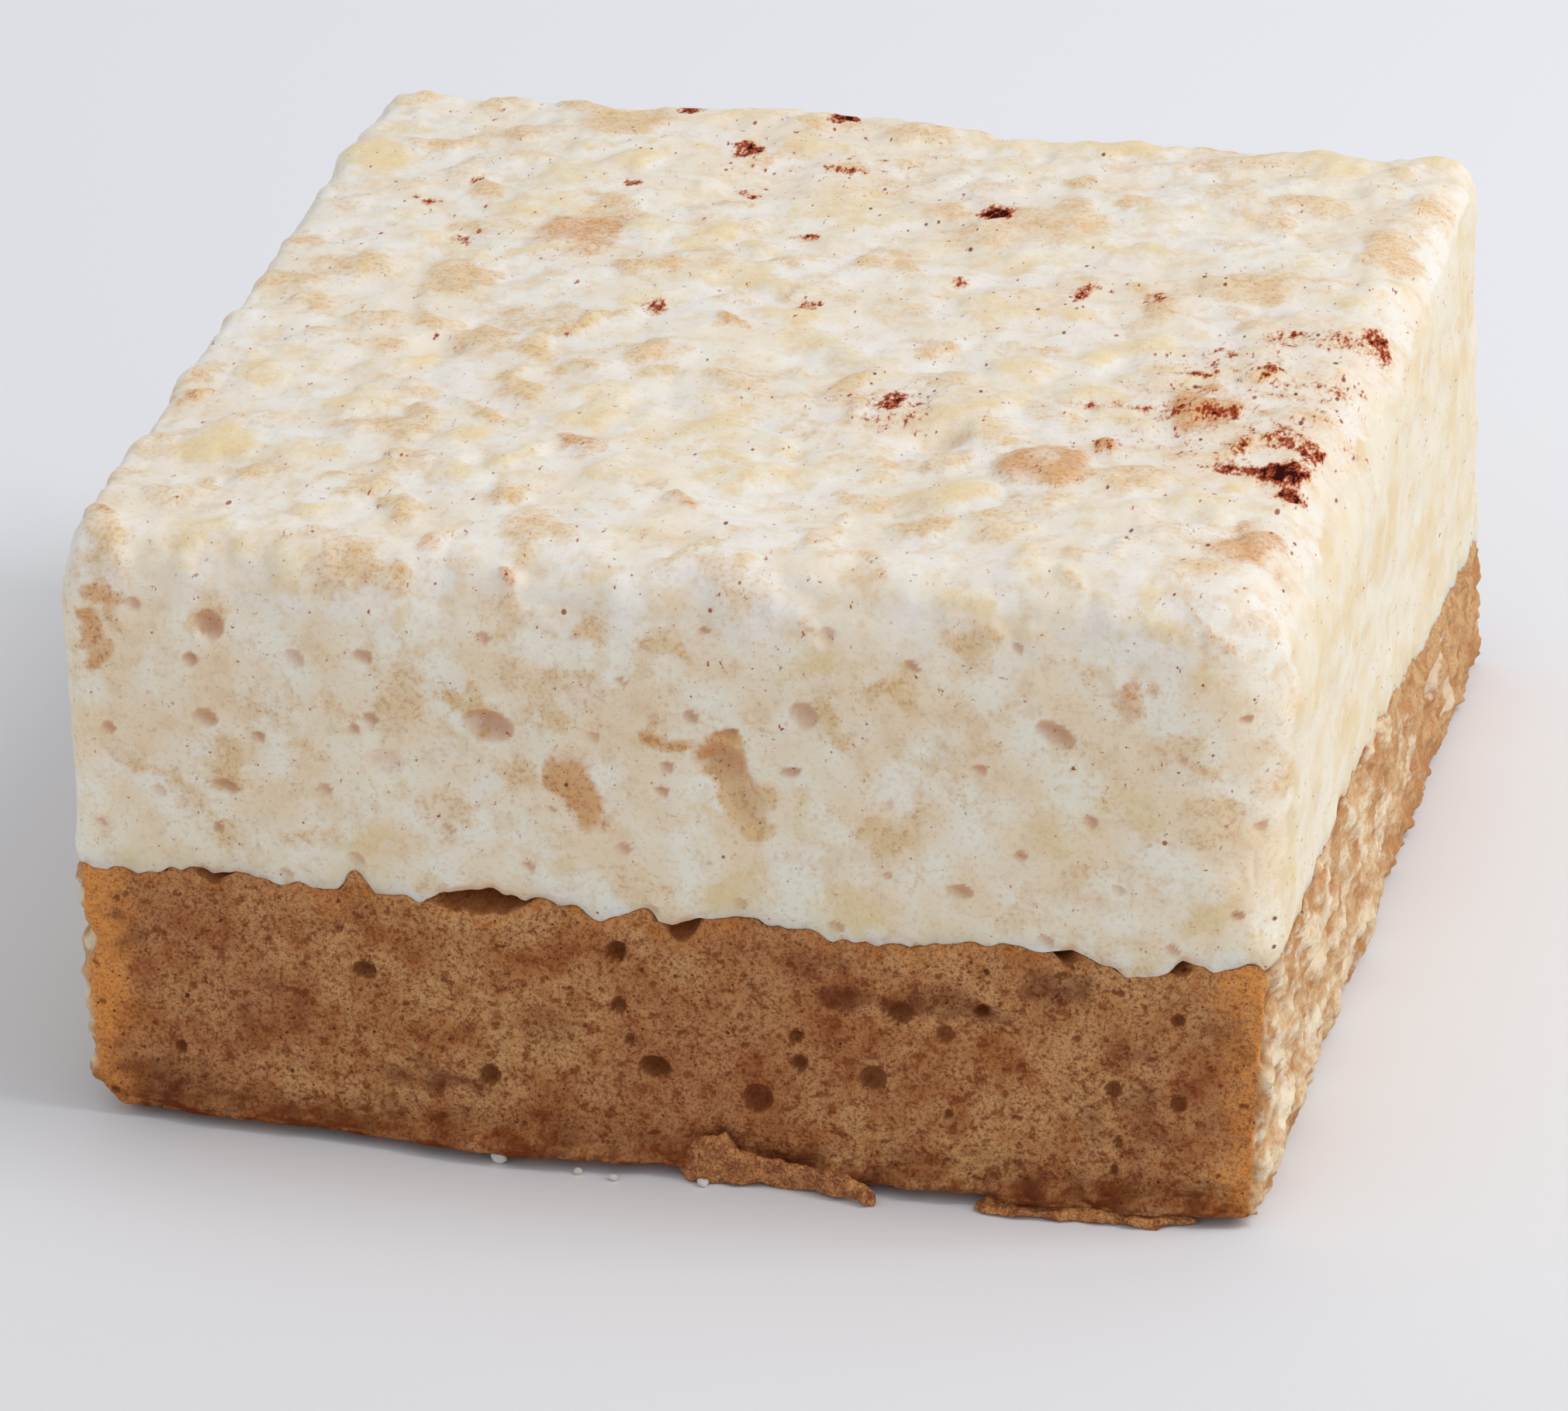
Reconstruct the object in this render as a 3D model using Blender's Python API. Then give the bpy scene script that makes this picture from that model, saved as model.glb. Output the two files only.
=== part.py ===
"""A square-cut marshmallow and puffed rice treat on a spice cake base, in metres, +Z up, front towards -Y.

Two closed pieces: the cake base and the marshmallow layer that lies on it. Each starts as a cube cut
into a lattice. Every lattice point is mapped onto the leaning, round-edged block, and is then pushed
in or out by the layer's relief: buried rice grains, bubbles cut open by the knife, and a crumbly crust.
"""
import random

import bmesh
import bpy
import numpy as np
from mathutils import Vector, noise

MM = 0.001
TINY = 1e-4

# The block: a knife-cut square whose sides lean a little, so each corner has its own place
FRONT_Y = -40.3 * MM
BACK_Y = 39.9 * MM
BOTTOM_CORNERS = {(-1, -1): (-37.0 * MM, -40.2 * MM), (1, -1): (35.7 * MM, -40.9 * MM),
                  (-1, 1): (-37.6 * MM, 40.1 * MM), (1, 1): (39.7 * MM, 41.0 * MM)}
TOP_CORNERS = {(-1, -1): (-37.9 * MM, -39.8 * MM), (1, -1): (37.7 * MM, -39.6 * MM),
               (-1, 1): (-39.4 * MM, 40.1 * MM), (1, 1): (38.3 * MM, 40.3 * MM)}
CORNER_HEIGHTS = {(-1, -1): 38.3 * MM, (1, -1): 39.7 * MM, (-1, 1): 38.2 * MM, (1, 1): 38.0 * MM}
HALF_WIDTH = 37.5 * MM
HALF_DEPTH = 40.0 * MM
HEIGHT = 38.0 * MM

# Where the marshmallow lies on the cake: level along the front, lower towards the back and the right
SEAM_FRONT = 17.0 * MM
SEAM_DROP_LEFT = 2.5 * MM
SEAM_DROP_RIGHT = 7.0 * MM
SEAM_DROP_FROM = -20.0 * MM
SEAM_DROP_OVER = 62.0 * MM
SEAM_GAP = 0.34 * MM
SEAM_RIM = 4.0 * MM
SEAM_WAVE = 0.55 * MM
SEAM_WAVE_SCALE = 6.0 * MM

# The left part of the back top edge sags further back than the right part
BACK_SAG = 1.6 * MM
BACK_SAG_TO = 0.0 * MM
BACK_SAG_FADE = 2.5 * MM

# Round edges: how far each rounding reaches along the width and the depth, and down from the top.
# The marshmallow's right top edge and its upright front right edge are rounder than the others.
CAKE_ROUND = 1.0 * MM
TOP_ROUND_X = 1.8 * MM
TOP_ROUND_RIGHT = 4.4 * MM
TOP_ROUND_CORNER = 7.0 * MM
TOP_ROUND_FRONT = 4.4 * MM
TOP_ROUND_BACK = 1.4 * MM
TOP_ROUND_DOWN = {(-1, -1): 6.4 * MM, (1, -1): 8.0 * MM, (-1, 1): 2.0 * MM, (1, 1): 2.0 * MM}
# The share of that rounding at the seam, and how fast it grows above; the cake counts as below the seam
ROUND_AT_SEAM = 0.3
ROUND_GROWTH = 1.5
BELOW_SEAM = -1.0

# Lattice cells along the width, the depth and each layer's height
CELLS_WIDE = 50
CELLS_DEEP = 38
CELLS_MARSHMALLOW = 11
CELLS_CAKE = 7
EDGE_CROWDING = 0.28
CUBE_SIDE = 2.0

# Puffed rice grains under the marshmallow's skin
GRAIN_COLUMNS = 13
GRAIN_ROWS = 16
GRAIN_HALF_LENGTH = 3.3 * MM
GRAIN_HALF_WIDTH = 1.9 * MM
GRAIN_HEIGHT = 0.62 * MM
GRAIN_SEED = 7
GRAIN_JITTER = 0.4
GRAIN_SIZES = (0.75, 1.25)
GRAIN_STRENGTHS = (0.3, 1.0)

# Slow swells of the surfaces: height and length
TOP_SWELL = (0.75 * MM, 17.0 * MM)
SIDE_SWELL = (0.32 * MM, 8.0 * MM)

# Bubbles cut open on the front of the marshmallow: across, up, half width, half height, depth
MARSHMALLOW_PITS = [
    (-10.9, 28.0, 2.1, 1.3, 1.1), (4.0, 25.6, 1.5, 1.7, 1.0), (5.5, 23.2, 1.1, 2.0, 0.6),
    (-17.2, 25.2, 1.4, 1.1, 0.5), (24.1, 29.4, 1.5, 0.9, 0.6), (9.0, 29.4, 1.1, 1.0, 0.5),
    (-28.5, 33.3, 1.0, 1.0, 0.5)]
# Bubbles cut open on the front of the cake
CAKE_PITS = [
    (-7.3, 10.0, 2.1, 1.3, 0.6), (-0.5, 8.1, 1.2, 0.9, 1.1), (5.6, 6.6, 1.1, 1.0, 1.0),
    (12.6, 8.6, 1.1, 1.0, 0.9), (14.6, 12.7, 1.2, 0.8, 0.6), (-18.9, 12.3, 1.0, 0.8, 0.8)]
# Openings along the front of the seam: across, half width, how far the marshmallow rises and the cake drops
SEAM_OPENINGS = [(-28.6, 1.7, 0.4, 0.3), (-12.0, 3.1, 0.9, 0.8), (0.8, 1.5, 0.1, 1.2), (31.0, 1.1, 0.3, 0.6)]
# Peaks where cake and marshmallow rise together
SEAM_PEAKS = [(-19.5, 1.4, 1.3), (-2.0, 1.4, 0.6), (6.0, 3.5, 0.5)]

# The baked crust stands out along the front's foot: place across and how far out, with two sharp flakes
FOOT_OUT = [(-30.0, 0.0), (-18.5, 0.6), (-8.0, 1.5), (-3.0, 1.2), (1.4, 0.4), (9.5, 0.8), (12.1, 1.9),
            (13.0, 0.7), (18.4, 0.5), (19.2, 1.3), (21.0, 1.8), (27.0, 1.6), (29.3, 1.7), (31.4, 0.4)]
FOOT_HEIGHT = 1.2 * MM
FOOT_FADE = 1.3 * MM

# The front left foot, where the corner has crumbled away, and a nick higher up that edge
LOST_CORNER = (-37.2 * MM, -41.0 * MM, 0.0)
LOST_RADIUS = 3.6 * MM
LOST_LIFT = 1.7 * MM
NICK = (-37.0 * MM, -40.5 * MM, 11.8 * MM)
NICK_RADIUS = 1.9 * MM
NICK_DEPTH = 0.9 * MM

# How far past its stated half sizes a pit or a grain fades out, as a squared distance
PIT_SPREAD = 2.0
GRAIN_SPREAD = 1.6
DOME_POWER = 1.5
SMOOTH_ANGLE = 40.0

CAKE_COLOUR = (0.27, 0.115, 0.045, 1.0)
CAKE_ROUGHNESS = 0.85
MARSHMALLOW_COLOUR = (0.74, 0.66, 0.54, 1.0)
MARSHMALLOW_ROUGHNESS = 0.5


def clear_scene():
    for thing in list(bpy.data.objects):
        bpy.data.objects.remove(thing)


def smooth(x):
    """An S curve from 0 to 1."""
    x = np.clip(x, 0.0, 1.0)
    return x * x * (3.0 - 2.0 * x)


def dome(squared_distance):
    """1 at the middle of a bump, 0 at its rim and beyond."""
    return np.clip(1.0 - squared_distance, 0.0, 1.0) ** DOME_POWER


def crowd(x):
    """Moves lattice lines from -1 to 1 closer together near both ends."""
    return x + EDGE_CROWDING * np.sin(np.pi * x) / np.pi


def swell(points, size):
    """Smooth noise of the given height and length at each point."""
    height, length = size
    return height * np.array([noise.noise(Vector(point) / length) for point in points])


def between(corners, u, v):
    """Blends four corner values, each a number or a pair, over the block's plan."""
    total = 0.0
    for (side_u, side_v), value in corners.items():
        share = (1.0 + side_u * u) * (1.0 + side_v * v) / 4.0
        total = total + np.multiply.outer(share, np.asarray(value))
    return total


def lattice(cells_high, flat_sides):
    """A cube of 2 units cut into cells; its underside (-1) or top (1) in flat_sides is a fan in a rim."""
    bm = bmesh.new()
    bmesh.ops.create_cube(bm, size=CUBE_SIDE)
    for axis, cells in enumerate((CELLS_WIDE, CELLS_DEEP, cells_high)):
        along = [edge for edge in bm.edges
                 if abs((edge.verts[0].co - edge.verts[1].co)[axis]) > CUBE_SIDE / 2]
        bmesh.ops.subdivide_edges(bm, edges=along, cuts=cells - 1, use_grid_fill=True)
    for side in flat_sides:
        flat = [face for face in bm.faces if face.calc_center_median().z * side > 1.0 - TINY]
        merged = bmesh.ops.dissolve_faces(bm, faces=flat, use_verts=True)["region"]
        rim = bmesh.ops.inset_region(bm, faces=merged, thickness=0.0)["faces"]
        for vert in merged[0].verts:
            vert.co.xy *= 1.0 - SEAM_RIM / HALF_WIDTH
        bmesh.ops.poke(bm, faces=merged + rim)
    bm.normal_update()
    return bm


def seam_height(x, y):
    """Height of the plane on which the marshmallow lies, before its waves."""
    drop = SEAM_DROP_LEFT + (SEAM_DROP_RIGHT - SEAM_DROP_LEFT) * (x + HALF_WIDTH) / (2 * HALF_WIDTH)
    return SEAM_FRONT - drop * smooth((y - SEAM_DROP_FROM) / SEAM_DROP_OVER)


def seam_middle(x, y):
    """The flat plane that the seam follows out of sight, inside its rim."""
    front, back = seam_height(0.0, FRONT_Y), seam_height(0.0, BACK_Y)
    slope_across = -(SEAM_DROP_RIGHT - SEAM_DROP_LEFT) / (4 * HALF_WIDTH)
    return (front + back) / 2 + y * (back - front) / (BACK_Y - FRONT_Y) + x * slope_across


def seam(x, y, rim, layer_above):
    """Height of the marshmallow's underside, or of the cake's top, at points on the rim or inside it."""
    points = np.stack([x, y, np.zeros_like(x)], axis=1)
    edge = seam_height(x, y) + swell(points, (SEAM_WAVE, SEAM_WAVE_SCALE))
    front = smooth((FRONT_Y + SEAM_RIM - y) / SEAM_RIM)
    for across, half_width, rise in SEAM_PEAKS:
        edge = edge + front * rise * MM * dome(((x - across * MM) / (half_width * MM)) ** 2)
    for across, half_width, rise, drop in SEAM_OPENINGS:
        opening = front * dome(((x - across * MM) / (half_width * MM)) ** 2)
        edge = edge + opening * (rise * MM if layer_above else -drop * MM)
    middle = seam_middle(x, y)
    return middle + (edge - middle) * rim + (SEAM_GAP if layer_above else 0.0)


def round_edges(u, v, below_top, above_seam):
    """Pulls points near an edge of the block in onto a round edge; returns u, v and the depth below the top."""
    reach_down = between(TOP_ROUND_DOWN, u, v)
    top_reach_x = TOP_ROUND_X + (TOP_ROUND_RIGHT - TOP_ROUND_X) * smooth(2 * u) * smooth(2 - 2 * v)
    top_reach_x += (TOP_ROUND_CORNER - TOP_ROUND_RIGHT) * smooth(2 * u) * smooth(-4 * v - 3)
    growth = smooth(ROUND_AT_SEAM + ROUND_GROWTH * above_seam)
    reach_x = CAKE_ROUND + (top_reach_x - CAKE_ROUND) * growth
    top_reach_y = np.where(v > 0, TOP_ROUND_BACK, TOP_ROUND_FRONT)
    reach_y = CAKE_ROUND + (top_reach_y - CAKE_ROUND) * growth
    past_x = np.clip(1.0 - (1.0 - np.abs(u)) * HALF_WIDTH / reach_x, 0.0, 1.0)
    past_y = np.clip(1.0 - (1.0 - np.abs(v)) * HALF_DEPTH / reach_y, 0.0, 1.0)
    past_z = np.clip(1.0 - below_top / reach_down, 0.0, 1.0)
    length = np.sqrt(past_x ** 2 + past_y ** 2 + past_z ** 2)
    keep = 1.0 / np.maximum(length, 1.0)
    round_u = np.where(past_x > 0, np.sign(u) * (1.0 - (1.0 - past_x * keep) * reach_x / HALF_WIDTH), u)
    round_v = np.where(past_y > 0, np.sign(v) * (1.0 - (1.0 - past_y * keep) * reach_y / HALF_DEPTH), v)
    round_z = np.where(past_z > 0, (1.0 - past_z * keep) * reach_down, below_top)
    return round_u, round_v, round_z


def block_points(u, v, height):
    """Places points of the plan at their heights, between the leaning sides."""
    share = (height / HEIGHT)[:, None]
    plan = between(BOTTOM_CORNERS, u, v) * (1.0 - share) + between(TOP_CORNERS, u, v) * share
    sag = smooth((BACK_SAG_TO - plan[:, 0]) / BACK_SAG_FADE) * smooth(share[:, 0]) * smooth(v)
    plan[:, 1] += BACK_SAG * sag * np.clip(v, 0.0, 1.0) ** 2
    return np.column_stack([plan, height])


def layer_points(bm, above):
    """Maps a layer's lattice onto the block: above is True for the marshmallow and False for the cake."""
    cube = np.array([vert.co for vert in bm.verts])
    u, v, w = crowd(cube[:, 0]), crowd(cube[:, 1]), (crowd(cube[:, 2]) + 1.0) / 2.0
    plan = block_points(u, v, np.full_like(u, SEAM_FRONT))
    inside = 1.0 - np.maximum(np.abs(cube[:, 0]), np.abs(cube[:, 1]))
    rim = np.clip(1.0 - inside * HALF_WIDTH / SEAM_RIM, 0.0, 1.0)
    level = seam(plan[:, 0], plan[:, 1], rim, above)
    top = between(CORNER_HEIGHTS, u, v)
    low, high = (level, top) if above else (np.zeros_like(u), level)
    height = low + (high - low) * w
    u, v, below = round_edges(u, v, top - height, w if above else np.full_like(w, BELOW_SEAM))
    return block_points(u, v, top - below), w, rim > 1.0 - TINY


def outward(bm, points, level_verts):
    """Unit directions out of the surface, kept level at the vertices of a flat side."""
    for vert, point in zip(bm.verts, points):
        vert.co = point
    bm.normal_update()
    normals = np.array([vert.normal for vert in bm.verts])
    normals[level_verts, 2] = 0.0
    return normals / np.maximum(np.linalg.norm(normals, axis=1, keepdims=True), TINY)


def cut_bubbles(points, normals, pits):
    """Depth of the bubbles that the knife opened in the front face."""
    depth = np.zeros(len(points))
    on_front = np.clip(-normals[:, 1], 0.0, 1.0)
    for across, up, half_width, half_height, deep in pits:
        offset_x = (points[:, 0] - across * MM) / (half_width * MM)
        offset_z = (points[:, 2] - up * MM) / (half_height * MM)
        depth += deep * MM * dome((offset_x ** 2 + offset_z ** 2) / PIT_SPREAD)
    return depth * on_front


def rice_grains():
    """Seeded places of the grains under the top: centre, direction and size of each."""
    draw = random.Random(GRAIN_SEED)
    step_x, step_y = 2 * HALF_WIDTH / GRAIN_COLUMNS, 2 * HALF_DEPTH / GRAIN_ROWS
    for column in range(GRAIN_COLUMNS):
        for row in range(GRAIN_ROWS):
            x = -HALF_WIDTH + (column + 0.5 + draw.uniform(-GRAIN_JITTER, GRAIN_JITTER)) * step_x
            y = -HALF_DEPTH + (row + 0.5 + draw.uniform(-GRAIN_JITTER, GRAIN_JITTER)) * step_y
            yield x, y, draw.uniform(0.0, np.pi), draw.uniform(*GRAIN_SIZES), draw.uniform(*GRAIN_STRENGTHS)


def grain_bumps(points, normals):
    """Height of the rice grains that show as soft bumps on the top."""
    rise = np.zeros(len(points))
    on_top = np.clip(normals[:, 2], 0.0, 1.0)
    for x, y, turn, size, strength in rice_grains():
        away_x, away_y = points[:, 0] - x, points[:, 1] - y
        along = (away_x * np.cos(turn) + away_y * np.sin(turn)) / (GRAIN_HALF_LENGTH * size)
        across = (away_y * np.cos(turn) - away_x * np.sin(turn)) / (GRAIN_HALF_WIDTH * size)
        rise = np.maximum(rise, GRAIN_HEIGHT * strength * dome((along ** 2 + across ** 2) / GRAIN_SPREAD))
    return rise * on_top


def crust_lip(points, normals):
    """How far the baked crust stands out along the foot of the front."""
    across, out = np.array(FOOT_OUT).T * MM
    on_front = np.clip(-normals[:, 1], 0.0, 1.0)
    low = 1.0 - smooth((points[:, 2] - FOOT_HEIGHT) / FOOT_FADE)
    return np.interp(points[:, 0], across, out) * on_front * low


def crumble_corner(points):
    """Wears away the front left foot and nicks the edge above it."""
    centre = np.array(LOST_CORNER)
    lost = smooth(1.0 - np.linalg.norm(points - centre, axis=1) / LOST_RADIUS)
    inward = np.array([1.0, 1.0, 0.0]) / np.sqrt(2.0)
    points = points + np.outer(lost * LOST_LIFT, inward) + np.outer(lost, [0.0, 0.0, LOST_LIFT])
    nick = smooth(1.0 - np.linalg.norm(points - np.array(NICK), axis=1) / NICK_RADIUS)
    return points + np.outer(nick * NICK_DEPTH, inward)


def shape_cake():
    bm = lattice(CELLS_CAKE, (-1, 1))
    points, w, rim = layer_points(bm, False)
    level = (w < TINY) | (w > 1.0 - TINY)
    normals = outward(bm, points, level)
    push = swell(points, SIDE_SWELL) + crust_lip(points, normals) - cut_bubbles(points, normals, CAKE_PITS)
    push = np.where(rim, push, 0.0)
    points = points + normals * push[:, None]
    points = np.where(rim[:, None], crumble_corner(points), points)
    return bm, points


def shape_marshmallow():
    bm = lattice(CELLS_MARSHMALLOW, (-1,))
    points, w, rim = layer_points(bm, True)
    underside = w < TINY
    normals = outward(bm, points, underside)
    side = swell(points, SIDE_SWELL) * (1.0 - np.abs(normals[:, 2]))
    top = swell(points, TOP_SWELL) * np.clip(normals[:, 2], 0.0, 1.0)
    push = side + top + grain_bumps(points, normals) - cut_bubbles(points, normals, MARSHMALLOW_PITS)
    push = np.where(rim | ~underside, push, 0.0)
    return bm, points + normals * push[:, None]


def principled(name, colour, roughness):
    material = bpy.data.materials.new(name)
    material.use_nodes = True
    shader = material.node_tree.nodes["Principled BSDF"]
    shader.inputs["Base Color"].default_value = colour
    shader.inputs["Roughness"].default_value = roughness
    shader.inputs["Metallic"].default_value = 0.0
    return material


def add_piece(name, bm, points, material):
    for vert, point in zip(bm.verts, points):
        vert.co = point
    bmesh.ops.triangulate(bm, faces=list(bm.faces), quad_method="SHORT_EDGE")
    bmesh.ops.recalc_face_normals(bm, faces=list(bm.faces))
    mesh = bpy.data.meshes.new(name)
    bm.to_mesh(mesh)
    bm.free()
    mesh.materials.append(material)
    mesh.shade_smooth()
    mesh.set_sharp_from_angle(angle=np.radians(SMOOTH_ANGLE))
    piece = bpy.data.objects.new(name, mesh)
    bpy.context.scene.collection.objects.link(piece)
    return piece


def centring(point_sets):
    """The move that puts the middle of the block's foot at the origin."""
    points = np.concatenate(point_sets)
    low, high = points.min(axis=0), points.max(axis=0)
    return np.array([-(low[0] + high[0]) / 2, -(low[1] + high[1]) / 2, -low[2]])


def main():
    clear_scene()
    cake_mesh, cake_points = shape_cake()
    marshmallow_mesh, marshmallow_points = shape_marshmallow()
    move = centring([cake_points, marshmallow_points])
    add_piece("spice_cake_base", cake_mesh, cake_points + move,
              principled("spice_cake", CAKE_COLOUR, CAKE_ROUGHNESS))
    add_piece("marshmallow_rice_layer", marshmallow_mesh, marshmallow_points + move,
              principled("marshmallow", MARSHMALLOW_COLOUR, MARSHMALLOW_ROUGHNESS))


main()
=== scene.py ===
"""Looks of a square-cut marshmallow and puffed rice treat on a spice cake base, in metres, +Z up.

Both layers are built anew over the CAD solids from a fine lattice: the block's form, then its relief,
then the colours that the relief carries as attributes on the mesh. The materials add what is finer.
"""
import math
from collections import namedtuple
from itertools import product

import bpy
import numpy as np
from mathutils import Matrix, Vector


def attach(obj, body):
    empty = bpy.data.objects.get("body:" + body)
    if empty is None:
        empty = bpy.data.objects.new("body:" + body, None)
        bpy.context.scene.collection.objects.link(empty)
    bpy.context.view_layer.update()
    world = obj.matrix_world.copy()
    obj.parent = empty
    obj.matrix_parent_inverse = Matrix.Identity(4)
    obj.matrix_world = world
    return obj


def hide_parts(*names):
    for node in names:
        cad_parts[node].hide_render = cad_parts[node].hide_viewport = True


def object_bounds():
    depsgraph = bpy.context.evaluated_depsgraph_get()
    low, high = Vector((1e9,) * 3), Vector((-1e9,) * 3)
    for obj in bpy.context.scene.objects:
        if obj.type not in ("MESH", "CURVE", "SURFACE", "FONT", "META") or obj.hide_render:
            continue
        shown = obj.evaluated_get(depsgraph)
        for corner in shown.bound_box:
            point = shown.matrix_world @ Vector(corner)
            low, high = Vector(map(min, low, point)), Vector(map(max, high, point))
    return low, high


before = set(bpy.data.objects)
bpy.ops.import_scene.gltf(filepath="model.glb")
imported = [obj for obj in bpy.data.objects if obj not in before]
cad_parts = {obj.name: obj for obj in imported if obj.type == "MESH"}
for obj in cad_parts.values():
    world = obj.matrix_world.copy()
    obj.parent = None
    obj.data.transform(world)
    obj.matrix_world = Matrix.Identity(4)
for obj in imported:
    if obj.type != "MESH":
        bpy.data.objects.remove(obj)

CAD_LOW, CAD_HIGH = [np.array(corner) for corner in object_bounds()]
MM = 0.001
TINY = 1e-6

# The block: a knife-cut square whose sides lean a little, so each corner has its own place
FRONT_Y = -40.3 * MM
BACK_Y = 39.9 * MM
BOTTOM_CORNERS = {(-1, -1): (-37.0 * MM, -40.2 * MM), (1, -1): (35.7 * MM, -40.9 * MM),
                  (-1, 1): (-37.6 * MM, 40.1 * MM), (1, 1): (39.7 * MM, 41.0 * MM)}
TOP_CORNERS = {(-1, -1): (-37.9 * MM, -39.8 * MM), (1, -1): (37.7 * MM, -39.6 * MM),
               (-1, 1): (-39.4 * MM, 40.1 * MM), (1, 1): (38.3 * MM, 40.3 * MM)}
CORNER_HEIGHTS = {(-1, -1): 38.3 * MM, (1, -1): 39.7 * MM, (-1, 1): 38.2 * MM, (1, 1): 38.0 * MM}
HALF_WIDTH = 37.5 * MM
HALF_DEPTH = 40.0 * MM
HEIGHT = 38.0 * MM

# Where the marshmallow lies on the cake
SEAM_FRONT = 17.0 * MM
SEAM_DROP_LEFT = 2.5 * MM
SEAM_DROP_RIGHT = 7.0 * MM
SEAM_DROP_FROM = -20.0 * MM
SEAM_DROP_OVER = 62.0 * MM
SEAM_GAP = 0.06 * MM
SEAM_RIM = 4.0 * MM

# The left part of the back top edge sags further back than the right part
BACK_SAG = 1.6 * MM
BACK_SAG_TO = 0.0 * MM
BACK_SAG_FADE = 2.5 * MM

# Round edges: how far each rounding reaches along the width and the depth, and down from the top
CAKE_ROUND = 1.0 * MM
TOP_ROUND_X = 1.8 * MM
TOP_ROUND_RIGHT = 4.4 * MM
TOP_ROUND_CORNER = 7.0 * MM
TOP_ROUND_FRONT = 4.4 * MM
TOP_ROUND_BACK = 1.4 * MM
TOP_ROUND_DOWN = {(-1, -1): 6.4 * MM, (1, -1): 8.0 * MM, (-1, 1): 2.0 * MM, (1, 1): 2.0 * MM}
# The share of that rounding at the seam, and how fast it grows above; the cake counts as below the seam
ROUND_AT_SEAM = 0.3
ROUND_GROWTH = 1.5
BELOW_SEAM = -1.0
# Where the wider roundings come in on the block's plan, from -1 to 1: to the right, forward of the back,
# and at the front corner
WIDE_RIGHT, WIDE_FORWARD, WIDE_CORNER = (0.0, 0.5), (1.0, 0.5), (-0.75, -1.0)

# Lattice cells along width, depth and height, and how much closer they are near the ends
MARSHMALLOW_CELLS = (320, 160, 84)
CAKE_CELLS = (340, 270, 72)
EDGE_CROWDING = 0.28


def srgb(red, green, blue):
    """A linear colour from a screen colour of 0 to 255."""
    def linear(value):
        value = value / 255.0
        return value / 12.92 if value <= 0.04045 else ((value + 0.055) / 1.055) ** 2.4
    return linear(red), linear(green), linear(blue), 1.0


# Number helpers

# Noise: points along each axis before it repeats, and a start that keeps places far above zero
NOISE_KNOTS, NOISE_START, NOISE_GAIN = 24, 1000.37, 1.5
CELL_COUNT, CELL_START, CELL_POINT = 32, 1000.0, (0.1, 0.9)


def smooth(x):
    """An S curve from 0 to 1."""
    x = np.clip(x, 0.0, 1.0)
    return x * x * (3.0 - 2.0 * x)


def fade(x, low, high):
    """0 below low, 1 above high."""
    return smooth((x - low) / (high - low))


def dome(squared_distance, power=1.5):
    """1 at the middle of a bump, 0 at its rim and beyond."""
    return np.clip(1.0 - squared_distance, 0.0, 1.0) ** power


def gradient_noise(points, size, seed):
    """Smooth noise from about -1 to 1; size is the length of its lumps along each axis."""
    knots = np.random.default_rng(seed).normal(size=(NOISE_KNOTS,) * 3 + (3,))
    knots /= np.linalg.norm(knots, axis=3, keepdims=True)
    place = points / np.asarray(size) + NOISE_START
    cell = np.floor(place).astype(int)
    part = place - cell
    ease = part * part * part * (part * (part * 6.0 - 15.0) + 10.0)
    total = np.zeros(len(points))
    for corner in product((0, 1), repeat=3):
        index = (cell + corner) % NOISE_KNOTS
        slope = knots[index[:, 0], index[:, 1], index[:, 2]]
        weight = np.prod(np.where(corner, ease, 1.0 - ease), axis=1)
        total += weight * np.sum(slope * (part - corner), axis=1)
    return total * NOISE_GAIN


def rough_noise(points, size, seed, octaves):
    """Gradient noise with finer noise added, each time half the length and half the height."""
    total = np.zeros(len(points))
    for octave in range(octaves):
        total += gradient_noise(points, np.asarray(size) / 2 ** octave, seed + octave) / 2 ** octave
    return total


def relief(points, height, size, seed, octaves):
    return height * rough_noise(points, size, seed, octaves)


def cell_noise(points, size, seed):
    """Distance to the nearest of scattered points, one in each cell, in cell lengths."""
    jitter = np.random.default_rng(seed).uniform(*CELL_POINT, size=(CELL_COUNT,) * 3 + (3,))
    place = points / size + CELL_START
    cell = np.floor(place).astype(int)
    nearest = np.full(len(points), np.inf)
    for step in product((-1, 0, 1), repeat=3):
        near = cell + step
        index = near % CELL_COUNT
        spot = near + jitter[index[:, 0], index[:, 1], index[:, 2]]
        nearest = np.minimum(nearest, np.sum((place - spot) ** 2, axis=1))
    return np.sqrt(nearest)


# The block's form

def crowd(x):
    return x + EDGE_CROWDING * np.sin(np.pi * x) / np.pi


def between(corners, u, v):
    """Blends four corner values, each a number or a pair, over the block's plan."""
    total = 0.0
    for (side_u, side_v), value in corners.items():
        share = (1.0 + side_u * u) * (1.0 + side_v * v) / 4.0
        total = total + np.multiply.outer(share, np.asarray(value))
    return total


def seam_height(x, y):
    """Height at which the marshmallow lies on the cake, before its waves."""
    drop = SEAM_DROP_LEFT + (SEAM_DROP_RIGHT - SEAM_DROP_LEFT) * (x + HALF_WIDTH) / (2 * HALF_WIDTH)
    return SEAM_FRONT - drop * smooth((y - SEAM_DROP_FROM) / SEAM_DROP_OVER)


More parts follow.
